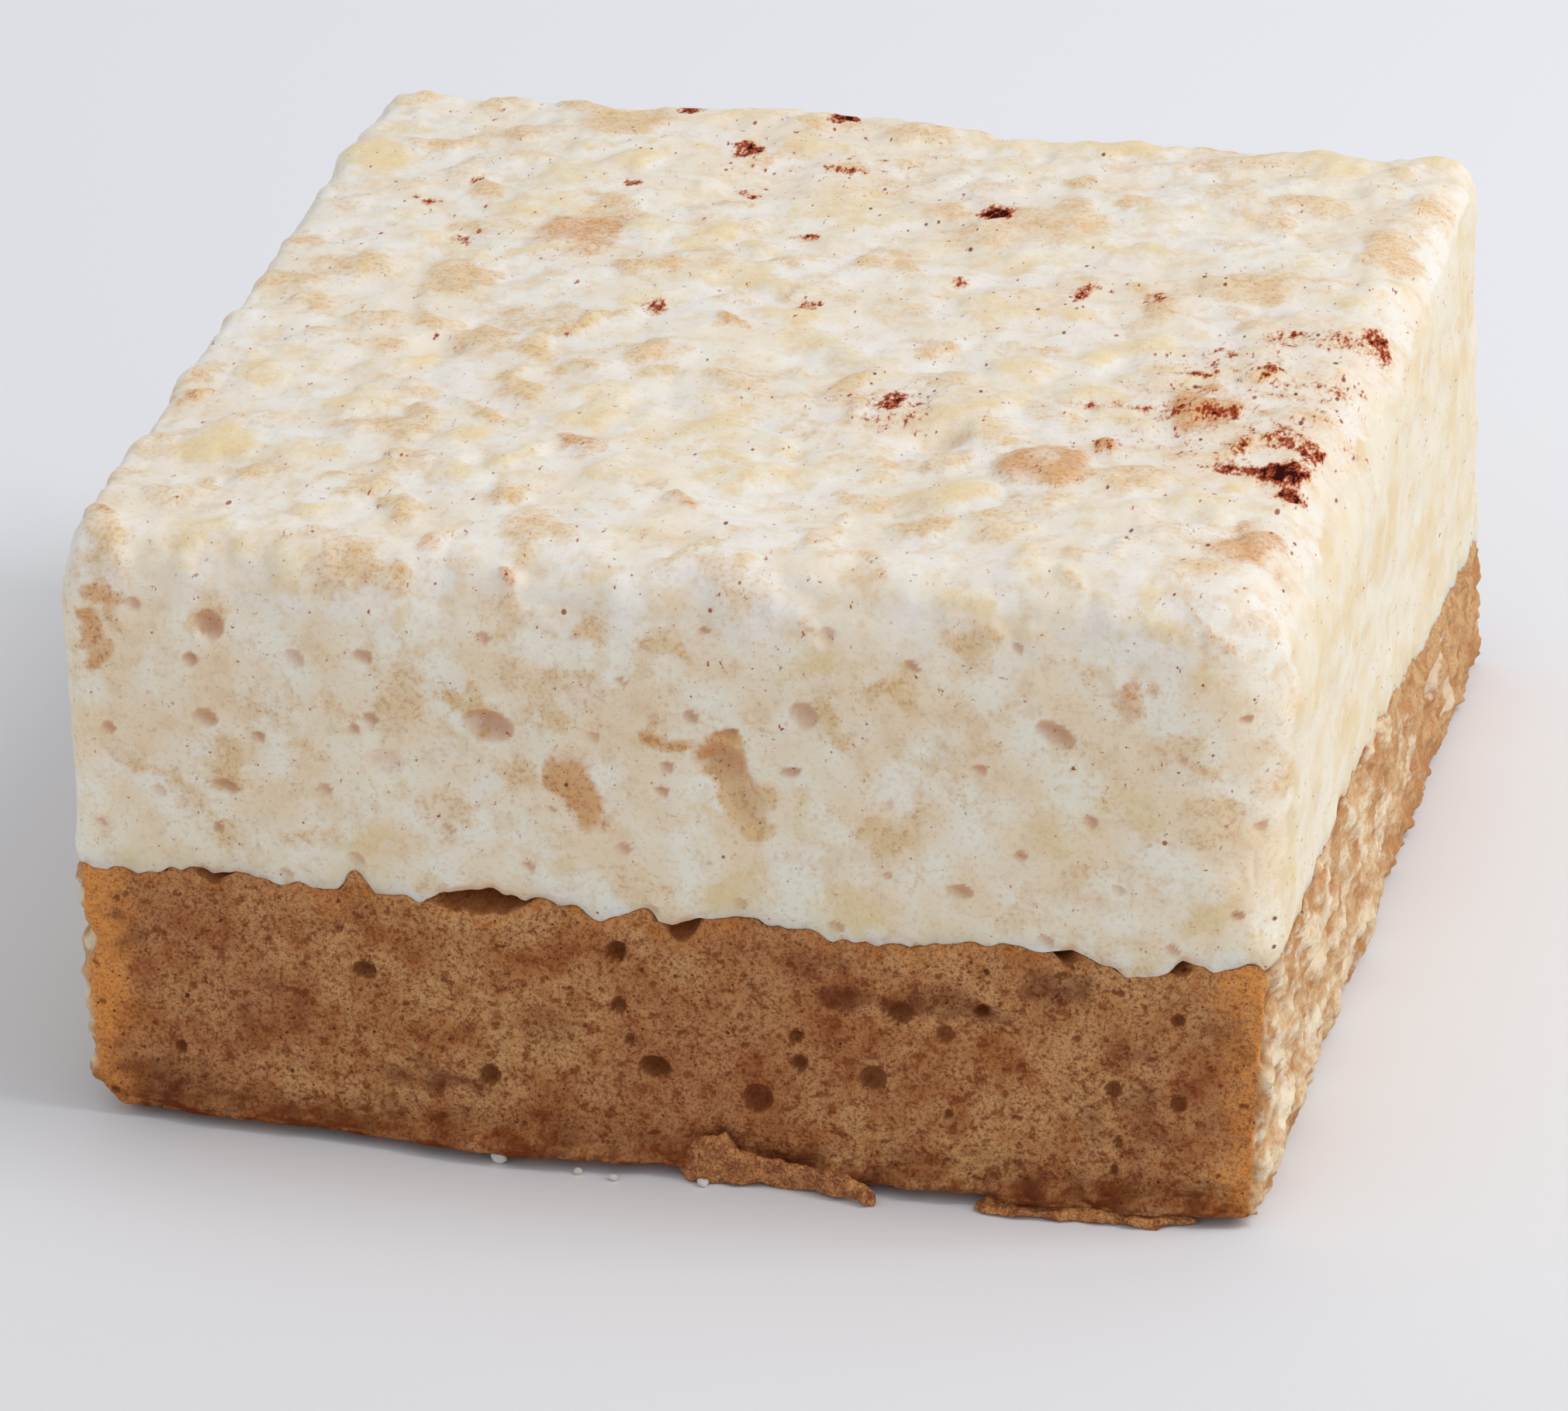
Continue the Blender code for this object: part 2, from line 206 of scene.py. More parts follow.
def seam_middle(x, y):
    """The flat plane that the seam follows out of sight, inside its rim."""
    front, back = seam_height(0.0, FRONT_Y), seam_height(0.0, BACK_Y)
    slope_across = -(SEAM_DROP_RIGHT - SEAM_DROP_LEFT) / (4 * HALF_WIDTH)
    return (front + back) / 2 + y * (back - front) / (BACK_Y - FRONT_Y) + x * slope_across


# Openings along the front of the seam: across, half width, the marshmallow's rise and the cake's drop
SEAM_OPENINGS = [
    (-28.6, 1.5, 0.2, 0.2), (-12.8, 2.6, 0.85, 0.1), (-10.6, 2.2, 0.3, 0.75), (0.9, 1.3, 0.0, 1.1),
    (24.2, 0.9, 0.0, 0.8), (31.0, 0.9, 0.3, 0.5)]
# Peaks where cake and marshmallow rise together: across, half width, rise
SEAM_PEAKS = [
    (-26.0, 1.4, 0.4), (-19.5, 1.2, 1.4), (-8.0, 1.2, 0.4), (-2.0, 1.3, 0.8), (6.0, 4.0, 0.5),
    (-4.6, 1.2, -0.5), (10.5, 1.5, -0.4), (28.3, 3.0, -0.6), (35.2, 1.5, 0.8)]
# Its waves, and the ragged right end, in millimetres across: height, length, seed, octaves
SEAM_WAVES = [(0.5 * MM, 6.0 * MM, 21, 1), (0.42 * MM, 2.0 * MM, 22, 1), (0.34 * MM, 0.9 * MM, 23, 1)]
RAGGED_RIGHT, RIGHT_END = (0.5 * MM, 1.8 * MM, 24, 2), (34.0, 36.0)


def near_front(y):
    """1 at the front of the seam, 0 out of sight inside its rim."""
    return smooth((FRONT_Y + SEAM_RIM - y) / SEAM_RIM)


def peak(x, across, half_width):
    return dome(((x / MM - across) / half_width) ** 2)


def openness(x, y):
    """How open the seam is, from 0 to 1."""
    gaps = [peak(x, across, half_width) for across, half_width, _, _ in SEAM_OPENINGS]
    return near_front(y) * np.max(gaps, axis=0)


def seam(x, y, rim, layer_above):
    """Height of the marshmallow's underside, or of the cake's top, at points on the rim or inside it."""
    points = np.stack([x, y, np.zeros_like(x)], axis=1)
    edge = seam_height(x, y)
    for wave in SEAM_WAVES:
        edge = edge + relief(points, *wave)
    edge = edge + relief(points, *RAGGED_RIGHT) * fade(x / MM, *RIGHT_END)
    front = near_front(y)
    for across, half_width, rise in SEAM_PEAKS:
        edge = edge + front * rise * MM * peak(x, across, half_width)
    for across, half_width, rise, drop in SEAM_OPENINGS:
        opening = front * peak(x, across, half_width)
        edge = edge + opening * (rise if layer_above else -drop) * MM
    middle = seam_middle(x, y)
    return middle + (edge - middle) * rim + (SEAM_GAP if layer_above else 0.0)


def round_edges(u, v, below_top, above_seam):
    """Pulls points near an edge of the block in onto a round edge."""
    reach_down = between(TOP_ROUND_DOWN, u, v)
    right = fade(u, *WIDE_RIGHT)
    top_reach_x = TOP_ROUND_X + (TOP_ROUND_RIGHT - TOP_ROUND_X) * right * fade(v, *WIDE_FORWARD)
    top_reach_x += (TOP_ROUND_CORNER - TOP_ROUND_RIGHT) * right * fade(v, *WIDE_CORNER)
    growth = smooth(ROUND_AT_SEAM + ROUND_GROWTH * above_seam)
    reach_x = CAKE_ROUND + (top_reach_x - CAKE_ROUND) * growth
    top_reach_y = np.where(v > 0, TOP_ROUND_BACK, TOP_ROUND_FRONT)
    reach_y = CAKE_ROUND + (top_reach_y - CAKE_ROUND) * growth
    past_x = np.clip(1.0 - (1.0 - np.abs(u)) * HALF_WIDTH / reach_x, 0.0, 1.0)
    past_y = np.clip(1.0 - (1.0 - np.abs(v)) * HALF_DEPTH / reach_y, 0.0, 1.0)
    past_z = np.clip(1.0 - below_top / reach_down, 0.0, 1.0)
    length = np.sqrt(past_x ** 2 + past_y ** 2 + past_z ** 2)
    keep = 1.0 / np.maximum(length, 1.0)
    round_u = np.where(past_x > 0, np.sign(u) * (1.0 - (1.0 - past_x * keep) * reach_x / HALF_WIDTH), u)
    round_v = np.where(past_y > 0, np.sign(v) * (1.0 - (1.0 - past_y * keep) * reach_y / HALF_DEPTH), v)
    round_z = np.where(past_z > 0, (1.0 - past_z * keep) * reach_down, below_top)
    return round_u, round_v, round_z


def block_points(u, v, height):
    """Places points of the plan at their heights, between the leaning sides."""
    share = (height / HEIGHT)[:, None]
    plan = between(BOTTOM_CORNERS, u, v) * (1.0 - share) + between(TOP_CORNERS, u, v) * share
    sag = smooth((BACK_SAG_TO - plan[:, 0]) / BACK_SAG_FADE) * smooth(share[:, 0]) * smooth(v)
    plan[:, 1] += BACK_SAG * sag * np.clip(v, 0.0, 1.0) ** 2
    return np.column_stack([plan, height])


def layer_points(cube, above):
    """Maps a layer's lattice onto the block: above is True for the marshmallow and False for the cake."""
    u, v, w = crowd(cube[:, 0]), crowd(cube[:, 1]), (crowd(cube[:, 2]) + 1.0) / 2.0
    plan = block_points(u, v, np.full_like(u, SEAM_FRONT))
    inside = 1.0 - np.maximum(np.abs(cube[:, 0]), np.abs(cube[:, 1]))
    rim = np.clip(1.0 - inside * HALF_WIDTH / SEAM_RIM, 0.0, 1.0)
    level = seam(plan[:, 0], plan[:, 1], rim, above)
    top = between(CORNER_HEIGHTS, u, v)
    low, high = (level, top) if above else (np.zeros_like(u), level)
    height = low + (high - low) * w
    u, v, below = round_edges(u, v, top - height, w if above else np.full_like(w, BELOW_SEAM))
    return block_points(u, v, top - below), w


# The lattice on a cube

def cells_between(ids, flip):
    """Four-sided cells between the points of one side."""
    a, b, c, d = ids[:-1, :-1], ids[1:, :-1], ids[1:, 1:], ids[:-1, 1:]
    order = (a, d, c, b) if flip else (a, b, c, d)
    return np.stack([corner.ravel() for corner in order], axis=1).tolist()


def rim_loop(ids):
    """The points around one level side, in order."""
    return np.concatenate([ids[:-1, 0], ids[-1, :-1], ids[:0:-1, -1], ids[0, :0:-1]])


def close_side(points, loop, flip):
    """Closes a level side that is out of sight with a rim of cells round a fan."""
    rim_inner = points[loop].copy()
    rim_inner[:, :2] *= 1.0 - SEAM_RIM / HALF_WIDTH
    middle = np.array([[0.0, 0.0, points[loop[0], 2]]])
    inner = len(points) + np.arange(len(loop))
    centre = len(points) + len(loop)
    faces = []
    for here, onward in zip(range(len(loop)), np.roll(np.arange(len(loop)), -1)):
        ring = [int(loop[here]), int(loop[onward]), int(inner[onward]), int(inner[here])]
        fan = [int(inner[here]), int(inner[onward]), int(centre)]
        faces += [ring[::-1], fan[::-1]] if flip else [ring, fan]
    return np.concatenate([points, rim_inner, middle]), faces


def cube_lattice(cells, closed_top):
    """Points on a cube from -1 to 1, and faces: the underside, and a closed top, are fans in a rim."""
    wide, deep, high = cells
    i, j, k = np.meshgrid(*[np.arange(count + 1) for count in cells], indexing="ij")
    side = (i == 0) | (i == wide) | (j == 0) | (j == deep)
    used = side if closed_top else side | (k == high)
    ids = np.full(used.shape, -1)
    ids[used] = np.arange(used.sum())
    points = 2.0 * np.stack([i[used] / wide, j[used] / deep, k[used] / high], axis=1) - 1.0
    faces = cells_between(ids[:, 0, :], False) + cells_between(ids[:, -1, :], True)
    faces += cells_between(ids[0, :, :], True) + cells_between(ids[-1, :, :], False)
    points, underside = close_side(points, rim_loop(ids[:, :, 0]), True)
    faces += underside
    if closed_top:
        points, top = close_side(points, rim_loop(ids[:, :, -1]), False)
        faces += top
    else:
        faces += cells_between(ids[:, :, -1], False)
    return points, faces


def make_mesh(name, points, faces):
    mesh = bpy.data.meshes.new(name)
    mesh.from_pydata(points.tolist(), [], faces)
    mesh.shade_smooth()
    mesh.update()
    return mesh


def normals_of(mesh):
    normals = np.empty(len(mesh.vertices) * 3)
    mesh.vertices.foreach_get("normal", normals)
    return normals.reshape(-1, 3)


def move_points(mesh, points):
    mesh.vertices.foreach_set("co", points.ravel())
    mesh.update()


def paint(mesh, name, values):
    """Stores one number for each point, for the material to read."""
    layer = mesh.attributes.new(name, "FLOAT", "POINT")
    layer.data.foreach_set("value", np.ascontiguousarray(values, dtype=np.float32))


# Sides of the block as flat maps

# For each side: the axes across and up its map, the way across runs, and the axis and way that it faces
FACINGS = {"front": (0, 2, 1, 1, -1), "back": (0, 2, -1, 1, 1), "left": (1, 2, -1, 0, -1),
           "right": (1, 2, 1, 0, 1), "top": (0, 1, 1, 2, 1)}
# How squarely a point has to face that way to start and to finish belonging to the side
FACING_FADE = (0.25, 0.7)


class Side:
    """One side of the block: its points as a flat map in millimetres, and how much each belongs to it."""

    def __init__(self, points, normals, facing, warp=None):
        across, up, sign_across, axis, sign = FACINGS[facing]
        moved = points if warp is None else points + warp
        self.across = sign_across * moved[:, across] / MM
        self.up = moved[:, up] / MM
        self.share = fade(sign * normals[:, axis], *FACING_FADE)

    def ellipse(self, across, up, half_width, half_height, turn=0.0):
        """Squared distance from the middle of an ellipse, 1 at its rim; turn is in degrees."""
        away, over = self.across - across, self.up - up
        c, s = math.cos(math.radians(turn)), math.sin(math.radians(turn))
        return ((away * c + over * s) / half_width) ** 2 + ((over * c - away * s) / half_height) ** 2


# Bubbles in the front of the marshmallow: across, up, half width, half height, depth, turn
FRONT_BUBBLES = [
    (-27.9, 33.7, 0.95, 0.95, 0.8, 0), (-29.1, 31.5, 0.5, 0.5, 0.5, 0), (-22.7, 32.0, 0.7, 0.7, 0.4, 0),
    (-18.4, 32.5, 0.7, 0.5, 0.35, 0), (-28.4, 27.7, 0.85, 0.6, 0.5, 0), (-25.1, 26.7, 0.5, 0.4, 0.4, 0),
    (-27.3, 23.3, 0.9, 0.45, 0.6, -10), (-18.1, 28.4, 0.5, 0.5, 0.4, 0), (-19.1, 27.7, 0.35, 0.4, 0.3, 0),
    (-17.3, 25.7, 1.25, 1.0, 0.45, 0), (-27.9, 20.4, 0.4, 0.4, 0.3, 0), (-10.9, 28.7, 1.6, 1.1, 1.1, -6),
    (-8.8, 27.7, 1.5, 1.6, 0.4, 0), (3.3, 27.5, 1.5, 1.3, 0.9, 0), (4.5, 25.8, 1.2, 2.8, 1.0, 28),
    (1.5, 30.3, 0.5, 0.5, 0.4, 0), (3.9, 29.5, 0.6, 0.3, 0.3, 0), (8.3, 31.0, 0.95, 0.9, 0.6, 0),
    (7.4, 27.2, 0.85, 0.3, 0.4, 15), (-4.4, 28.5, 0.5, 0.5, 0.3, 0), (-0.3, 25.4, 0.5, 0.4, 0.4, 0),
    (0.0, 27.0, 0.45, 0.45, 0.35, 0), (16.3, 29.8, 0.7, 0.7, 0.3, 0), (23.3, 31.1, 1.25, 0.7, 0.7, -28),
    (18.8, 28.5, 0.5, 0.35, 0.3, 0), (25.4, 25.7, 0.5, 0.5, 0.35, 0), (17.6, 20.5, 0.9, 0.5, 0.4, 0)]
# Bubbles cut open on the front of the cake, the same way
CAKE_BUBBLES = [
    (-19.1, 11.7, 0.75, 0.5, 0.9, 0), (-31.1, 5.1, 0.35, 0.4, 0.5, 0), (-3.3, 14.5, 0.6, 0.65, 0.9, 0),
    (-3.2, 10.9, 0.45, 0.5, 0.6, 0), (-2.6, 8.6, 0.35, 0.35, 0.5, 0), (-1.0, 7.0, 1.0, 0.6, 1.1, -12),
    (-11.4, 5.3, 0.6, 0.7, 0.8, 0), (5.3, 5.5, 0.9, 0.9, 0.9, 0), (7.9, 8.1, 0.5, 0.5, 0.7, 0),
    (7.7, 10.0, 0.45, 0.35, 0.6, 0), (14.1, 12.2, 0.7, 0.7, 0.7, 0), (19.0, 12.7, 0.5, 0.4, 0.8, 0),
    (16.8, 11.0, 0.6, 0.6, 0.35, 0), (12.4, 7.6, 0.8, 0.8, 0.7, 0), (27.0, 8.4, 0.5, 0.5, 0.5, 0),
    (30.8, 13.3, 0.4, 0.4, 0.5, 0), (30.9, 7.8, 0.5, 0.5, 0.5, 0), (17.0, 5.6, 0.25, 0.3, 0.5, 0),
    (-7.9, 9.0, 2.0, 1.2, 0.5, -15), (27.3, 4.9, 0.25, 0.3, 0.4, 0), (27.1, 3.0, 0.25, 0.3, 0.4, 0)]

# Colours of what shows through the marshmallow's skin: 0 is yellow cream, 1 is tan, 2 is orange
YELLOW, TAN, ORANGE = 0.0, 0.5, 1.0
# Grains that the knife cut on the front: across, up, half width, half height, turn, colour, strength
FRONT_GRAINS = [
    # The first three colour the big cut bubbles: tan linings and orange upper rims, partly painted shade
    (3.3, 28.4, 1.8, 0.9, -12, ORANGE, 1.2), (4.6, 26.0, 1.3, 2.9, 28, TAN, 1.3),
    (-11.6, 29.1, 1.7, 0.9, -10, TAN, 1.0), (-34.2, 34.6, 1.3, 1.2, 0, ORANGE, 0.8),
    (-35.0, 32.0, 1.5, 1.0, 0, ORANGE, 1.0), (-33.4, 31.0, 1.1, 1.0, 0, TAN, 0.6),
    (-20.5, 29.0, 1.2, 1.0, 0, TAN, 0.7), (-31.7, 24.4, 2.8, 0.7, -25, TAN, 0.7),
    (-21.4, 25.9, 1.5, 0.5, 0, TAN, 0.5), (-29.8, 30.3, 1.2, 0.9, 0, YELLOW, 0.4),
    (-5.0, 24.6, 1.5, 2.2, 25, ORANGE, 1.25), (0.1, 29.1, 1.0, 0.8, 0, ORANGE, 0.8),
    (6.3, 30.0, 1.4, 0.5, -20, TAN, 0.6), (-2.2, 26.9, 0.8, 0.5, 0, TAN, 0.5),
    (-12.8, 22.7, 2.0, 1.6, 0, TAN, 0.7), (8.2, 24.4, 1.3, 2.1, 10, YELLOW, 0.6),
    (2.0, 23.3, 1.4, 1.5, 0, YELLOW, 0.4), (-6.5, 20.2, 1.4, 1.1, 0, YELLOW, 0.4),
    (19.4, 29.9, 1.1, 0.7, 0, TAN, 0.5), (20.0, 31.9, 1.4, 0.5, 0, TAN, 0.4),
    (17.2, 27.1, 1.4, 1.1, 0, TAN, 0.5), (28.6, 33.1, 1.2, 1.2, 0, ORANGE, 0.7),
    (31.3, 30.1, 1.9, 1.0, 0, TAN, 0.6), (33.0, 26.0, 2.4, 1.3, 0, TAN, 0.6),
    (23.6, 24.9, 2.2, 1.7, 0, YELLOW, 0.5), (25.4, 22.7, 1.6, 1.1, 0, TAN, 0.5),
    (14.9, 20.7, 1.3, 1.0, 0, TAN, 0.4), (10.7, 18.2, 1.5, 2.2, 0, YELLOW, 0.8),
    (20.4, 18.9, 1.4, 1.3, 0, TAN, 0.3), (26.0, 17.9, 1.2, 1.1, 0, TAN, 0.3)]
# Grains under the top's skin: across, back, half length, half width, turn, colour, strength
TOP_GRAINS = [
    (-32.9, 0.0, 1.6, 1.3, -55, TAN, 0.7), (-31.4, -6.1, 1.5, 1.0, 0, TAN, 0.6),
    (-32.9, -12.1, 2.8, 1.4, -70, YELLOW, 0.7), (-36.2, -17.4, 1.9, 0.8, -70, ORANGE, 0.8),
    (-31.6, -23.3, 2.8, 2.2, -40, YELLOW, 1.0), (-24.1, 3.7, 1.8, 1.5, -5, TAN, 0.7),
    (-16.1, -5.4, 2.4, 1.4, -75, TAN, 0.9), (-14.3, -1.1, 3.3, 1.3, 45, TAN, 0.9),
    (-8.6, -5.5, 2.6, 2.0, -65, TAN, 0.9), (-6.2, 4.0, 1.2, 1.0, 0, TAN, 0.6),
    (-5.1, 0.0, 1.2, 1.1, -45, ORANGE, 0.8), (-2.2, -8.5, 2.2, 1.8, -70, TAN, 0.7),
    (-9.7, -13.1, 2.1, 1.8, -35, YELLOW, 0.7), (-15.8, -12.2, 2.9, 0.8, -60, TAN, 0.9),
    (-16.5, -17.0, 3.4, 0.8, -55, TAN, 0.9), (-19.2, -25.0, 1.8, 1.1, -70, TAN, 0.7),
    (-16.2, -26.4, 2.2, 1.4, -70, YELLOW, 0.7), (-12.3, -29.6, 1.6, 1.3, -90, TAN, 0.7),
    (-9.1, -33.2, 2.8, 1.6, -75, TAN, 0.7), (-8.8, -21.9, 1.6, 1.4, -25, ORANGE, 0.9),
    (-1.6, -28.4, 2.4, 0.9, -30, ORANGE, 0.9), (-2.6, -16.7, 3.2, 2.3, 60, YELLOW, 0.9),
    (-35.3, -34.6, 1.6, 0.7, -20, ORANGE, 0.9), (-34.1, -38.0, 2.9, 1.6, -70, TAN, 0.7),
    (-15.2, -36.3, 0.9, 0.7, -55, ORANGE, 0.7), (-9.5, -37.9, 1.1, 0.7, -35, ORANGE, 0.9),
    (-16.3, -39.3, 2.0, 1.2, -35, TAN, 0.8), (-22.5, -40.3, 4.1, 1.3, -75, YELLOW, 0.6),
    (1.1, -35.1, 3.2, 0.7, 45, TAN, 0.7), (5.4, -9.2, 4.2, 1.4, -80, TAN, 0.8),
    (8.6, -0.7, 1.7, 1.6, -5, TAN, 0.8), (14.8, -3.8, 1.9, 1.7, -75, YELLOW, 0.8),
    (18.9, -1.1, 2.1, 1.4, -80, YELLOW, 0.8), (20.1, -7.7, 1.7, 1.7, -35, YELLOW, 0.7),
    (26.6, -9.0, 3.4, 2.1, -65, ORANGE, 1.0), (14.6, -15.5, 2.7, 1.7, -80, TAN, 0.6),
    (19.5, -20.6, 3.3, 2.6, -35, ORANGE, 1.0), (22.2, -15.8, 1.5, 0.8, -80, ORANGE, 0.9),
    (7.6, -32.3, 1.8, 1.1, -75, TAN, 0.7), (7.9, -28.8, 1.0, 0.6, -75, ORANGE, 0.8),
    (13.8, -29.1, 2.2, 1.5, -75, TAN, 0.9), (32.7, -29.9, 2.9, 2.1, -80, ORANGE, 1.0),
    (23.6, -36.2, 1.4, 0.9, -50, TAN, 0.7), (9.8, -39.5, 1.7, 0.9, -25, ORANGE, 0.8),
    (32.7, -38.1, 1.2, 0.8, 70, ORANGE, 0.9), (20.3, -34.0, 1.5, 1.3, -75, YELLOW, 0.6),
    (21.7, 7.9, 2.9, 2.6, -80, TAN, 0.7), (11.3, 5.5, 2.6, 2.5, -5, YELLOW, 0.7),
    (-36.5, 27.0, 3.4, 2.6, -35, YELLOW, 0.9), (-20.7, 36.8, 3.4, 2.9, -60, TAN, 1.0),
    (-18.5, 14.8, 4.2, 2.7, 85, ORANGE, 0.9), (-30.8, 6.2, 2.3, 2.0, -50, TAN, 0.8),
    (-24.1, 5.7, 3.2, 1.8, -70, TAN, 1.0), (-13.0, 9.7, 2.3, 1.7, 0, TAN, 0.9),
    (-9.8, 16.2, 3.8, 1.7, 85, YELLOW, 0.8), (-1.9, 23.5, 4.6, 4.0, -75, YELLOW, 0.7),
    (2.3, 13.5, 2.9, 2.3, -75, TAN, 0.7), (12.2, 21.8, 3.8, 3.1, -75, TAN, 0.7),
    (14.5, 39.6, 3.7, 2.3, 10, YELLOW, 0.9), (27.1, 13.0, 3.6, 3.0, 10, TAN, 0.8),
    (26.4, 24.8, 2.4, 1.8, -80, TAN, 0.7), (35.1, 20.9, 3.8, 2.3, -85, TAN, 0.9),
    (28.2, 37.6, 2.6, 2.5, 20, YELLOW, 0.8)]
# Spice on the top: across, back, half width, half depth, strength
SPICE = [
    (33.0, -17.8, 1.7, 1.6, 1.7), (31.6, -18.0, 2.2, 0.6, 1.1), (34.1, -20.8, 0.8, 0.9, 1.3),
    (32.8, -12.8, 2.0, 1.5, 0.85), (34.6, -14.6, 1.0, 1.5, 0.95), (30.4, -14.6, 0.7, 1.4, 0.85),
    (29.7, -17.6, 1.0, 1.1, 0.85), (30.8, -17.9, 3.2, 0.4, 0.8), (28.2, -9.8, 1.1, 1.0, 0.95),
    (25.4, -9.6, 0.9, 0.7, 0.85), (26.9, -9.4, 2.8, 2.2, 0.45), (8.4, 22.8, 1.3, 1.7, 1.6),
    (-11.4, 32.9, 1.1, 1.6, 1.4), (-6.3, 40.2, 0.9, 1.0, 1.2), (-16.9, 40.0, 1.0, 0.9, 1.3),
    (16.1, 9.7, 0.8, 1.1, 1.1), (8.1, 9.9, 0.6, 0.8, 0.95), (8.2, -11.2, 1.0, 1.3, 0.95),
    (8.2, -12.0, 3.0, 4.0, 0.25), (-3.6, 29.9, 1.5, 0.6, 0.85), (-3.6, 17.4, 1.1, 0.4, 0.85),
    (-9.5, 25.0, 0.5, 0.5, 0.8), (20.8, 9.3, 0.9, 1.3, 0.75), (22.2, -16.0, 1.0, 1.3, 0.6),
    (35.4, 5.2, 0.9, 1.2, 1.05), (34.0, 3.6, 2.4, 1.6, 0.45), (33.4, -4.0, 2.4, 0.7, 0.5),
    (30.2, -2.2, 0.7, 1.8, 0.65), (30.2, 3.6, 1.3, 1.3, 0.6), (26.6, 0.4, 1.6, 0.7, 0.6),
    (25.6, -3.4, 1.6, 0.6, 0.75), (21.6, -9.4, 3.0, 0.5, 0.6), (-10.2, 2.5, 0.8, 1.1, 0.9),
    (-0.4, 4.2, 0.7, 1.0, 0.8), (-30.4, 19.3, 1.3, 0.5, 0.75), (-26.0, 12.6, 0.9, 0.8, 0.7),
    (-28.3, 22.8, 0.6, 0.7, 0.75), (-17.5, 24.0, 0.6, 0.7, 0.7), (-4.0, 31.0, 9.0, 8.0, 0.1),
    (29.0, -8.0, 8.0, 11.0, 0.2)]
# Dents in the top: across, back, half width, half depth, depth
TOP_DENTS = [(-22.7, -5.6, 2.2, 2.4, 0.6), (11.9, -16.4, 2.2, 1.6, 0.9), (-8.0, -15.5, 1.8, 1.2, 0.4)]
# Fine spice dust: across, back, radius, how dense
DUST = [
    (29.0, -12.5, 16.0, 1.0), (8.2, -12.0, 9.0, 1.0), (8.4, 22.8, 9.0, 1.2), (-11.4, 33.0, 9.0, 0.8),
    (-5.0, 26.0, 9.0, 0.6), (-29.0, 18.0, 10.0, 0.6), (33.0, 3.0, 11.0, 0.9), (18.5, 9.0, 14.0, 0.8),
    (31.0, -31.0, 9.0, 0.7), (-22.7, -20.0, 12.0, 0.1), (2.0, -33.0, 12.0, 0.15), (-14.0, 39.0, 10.0, 0.7)]
# The same on the front: across, up, radius, how dense
FRONT_DUST = [
    (-6.4, 26.4, 1.6, 2.5), (-5.0, 24.4, 2.8, 0.7), (12.8, 25.4, 2.0, 0.5), (2.6, 29.4, 2.4, 0.4),
    (-8.0, 21.8, 2.0, 0.3)]

# Flat maps that grains and bubbles are scattered over, by their lowest and highest corners
TOP_MAP = [-37.5, -41.0], [38.5, 41.0]
CUT_MAP = [-38.0, 13.0], [38.0, 36.0]
CAKE_MAP = [-38.0, 1.5], [38.0, 16.0]
# For each side: the map, how far apart grains are, the ones listed, and the size of seeded ones
GRAINS = {"front": (*CUT_MAP, 4.0, FRONT_GRAINS, 2.2), "back": (*CUT_MAP, 3.8, [], 2.4),
          "left": (*CUT_MAP, 3.8, [], 2.4), "right": (*CUT_MAP, 3.8, [], 2.4),
          "top": (*TOP_MAP, 3.6, TOP_GRAINS, 3.0)}
# The same for the bubbles of the marshmallow and of the cake, on the sides that have any
BUBBLES = {"front": (*CUT_MAP, 4.2, FRONT_BUBBLES, 0.6), "back": (*CUT_MAP, 5.0, [], 0.7),
           "left": (*CUT_MAP, 5.0, [], 0.7)}
CAKE_HOLES = {"front": (*CAKE_MAP, 3.0, CAKE_BUBBLES, 0.32), "back": (*CAKE_MAP, 4.0, [], 0.5)}
# How often a place is tried, and the ranges of what is drawn for a seeded grain or bubble
GRAIN_TRIES, BUBBLE_TRIES = 900, 700
GRAIN_LENGTHS, GRAIN_WIDTHS, GRAIN_TURNS = (0.55, 1.15), (0.4, 0.75), (-40, 40)
GRAIN_STRENGTHS = (0.35, 0.85)
GRAIN_COLOURS = [YELLOW, YELLOW, TAN, TAN, TAN]
BUBBLE_SIZES, BUBBLE_SHAPES, BUBBLE_TURNS = (0.6, 1.0), (0.6, 1.0), (-30, 30)
BUBBLE_DEPTH = 0.5


def scatter(draw, low, high, apart, keep_clear, tries):
    """Seeded places on a flat map, apart from each other and from the places to keep clear."""
    places = list(keep_clear)
    found = []
    for _ in range(tries):
        spot = draw.uniform(low, high)
        if all((spot[0] - x) ** 2 + (spot[1] - y) ** 2 > apart ** 2 for x, y in places):
            places.append(spot)
            found.append(spot)
    return found


def middles(features):
    return [feature[:2] for feature in features]


def all_grains(draw, low, high, apart, placed, size):
    """The placed grains, then ones of drawn size, turn, colour and strength between them."""
    grains = list(placed)
    for x, y in scatter(draw, low, high, apart, middles(placed), GRAIN_TRIES):
        long_half = draw.uniform(*GRAIN_LENGTHS) * size
        wide_half = long_half * draw.uniform(*GRAIN_WIDTHS)
        colour = draw.choice(GRAIN_COLOURS)
        turn, strength = draw.uniform(*GRAIN_TURNS), draw.uniform(*GRAIN_STRENGTHS)
        grains.append((x, y, long_half, wide_half, turn, colour, strength))
    return grains


def all_bubbles(draw, low, high, apart, placed, largest):
    """The placed bubbles, then seeded ones between them."""
    bubbles = list(placed)
    for x, y in scatter(draw, low, high, apart, middles(placed), BUBBLE_TRIES):
        half = largest * draw.uniform(*BUBBLE_SIZES)
        high_half = half * draw.uniform(*BUBBLE_SHAPES)
        bubbles.append((x, y, half, high_half, half * BUBBLE_DEPTH, draw.uniform(*BUBBLE_TURNS)))
    return bubbles
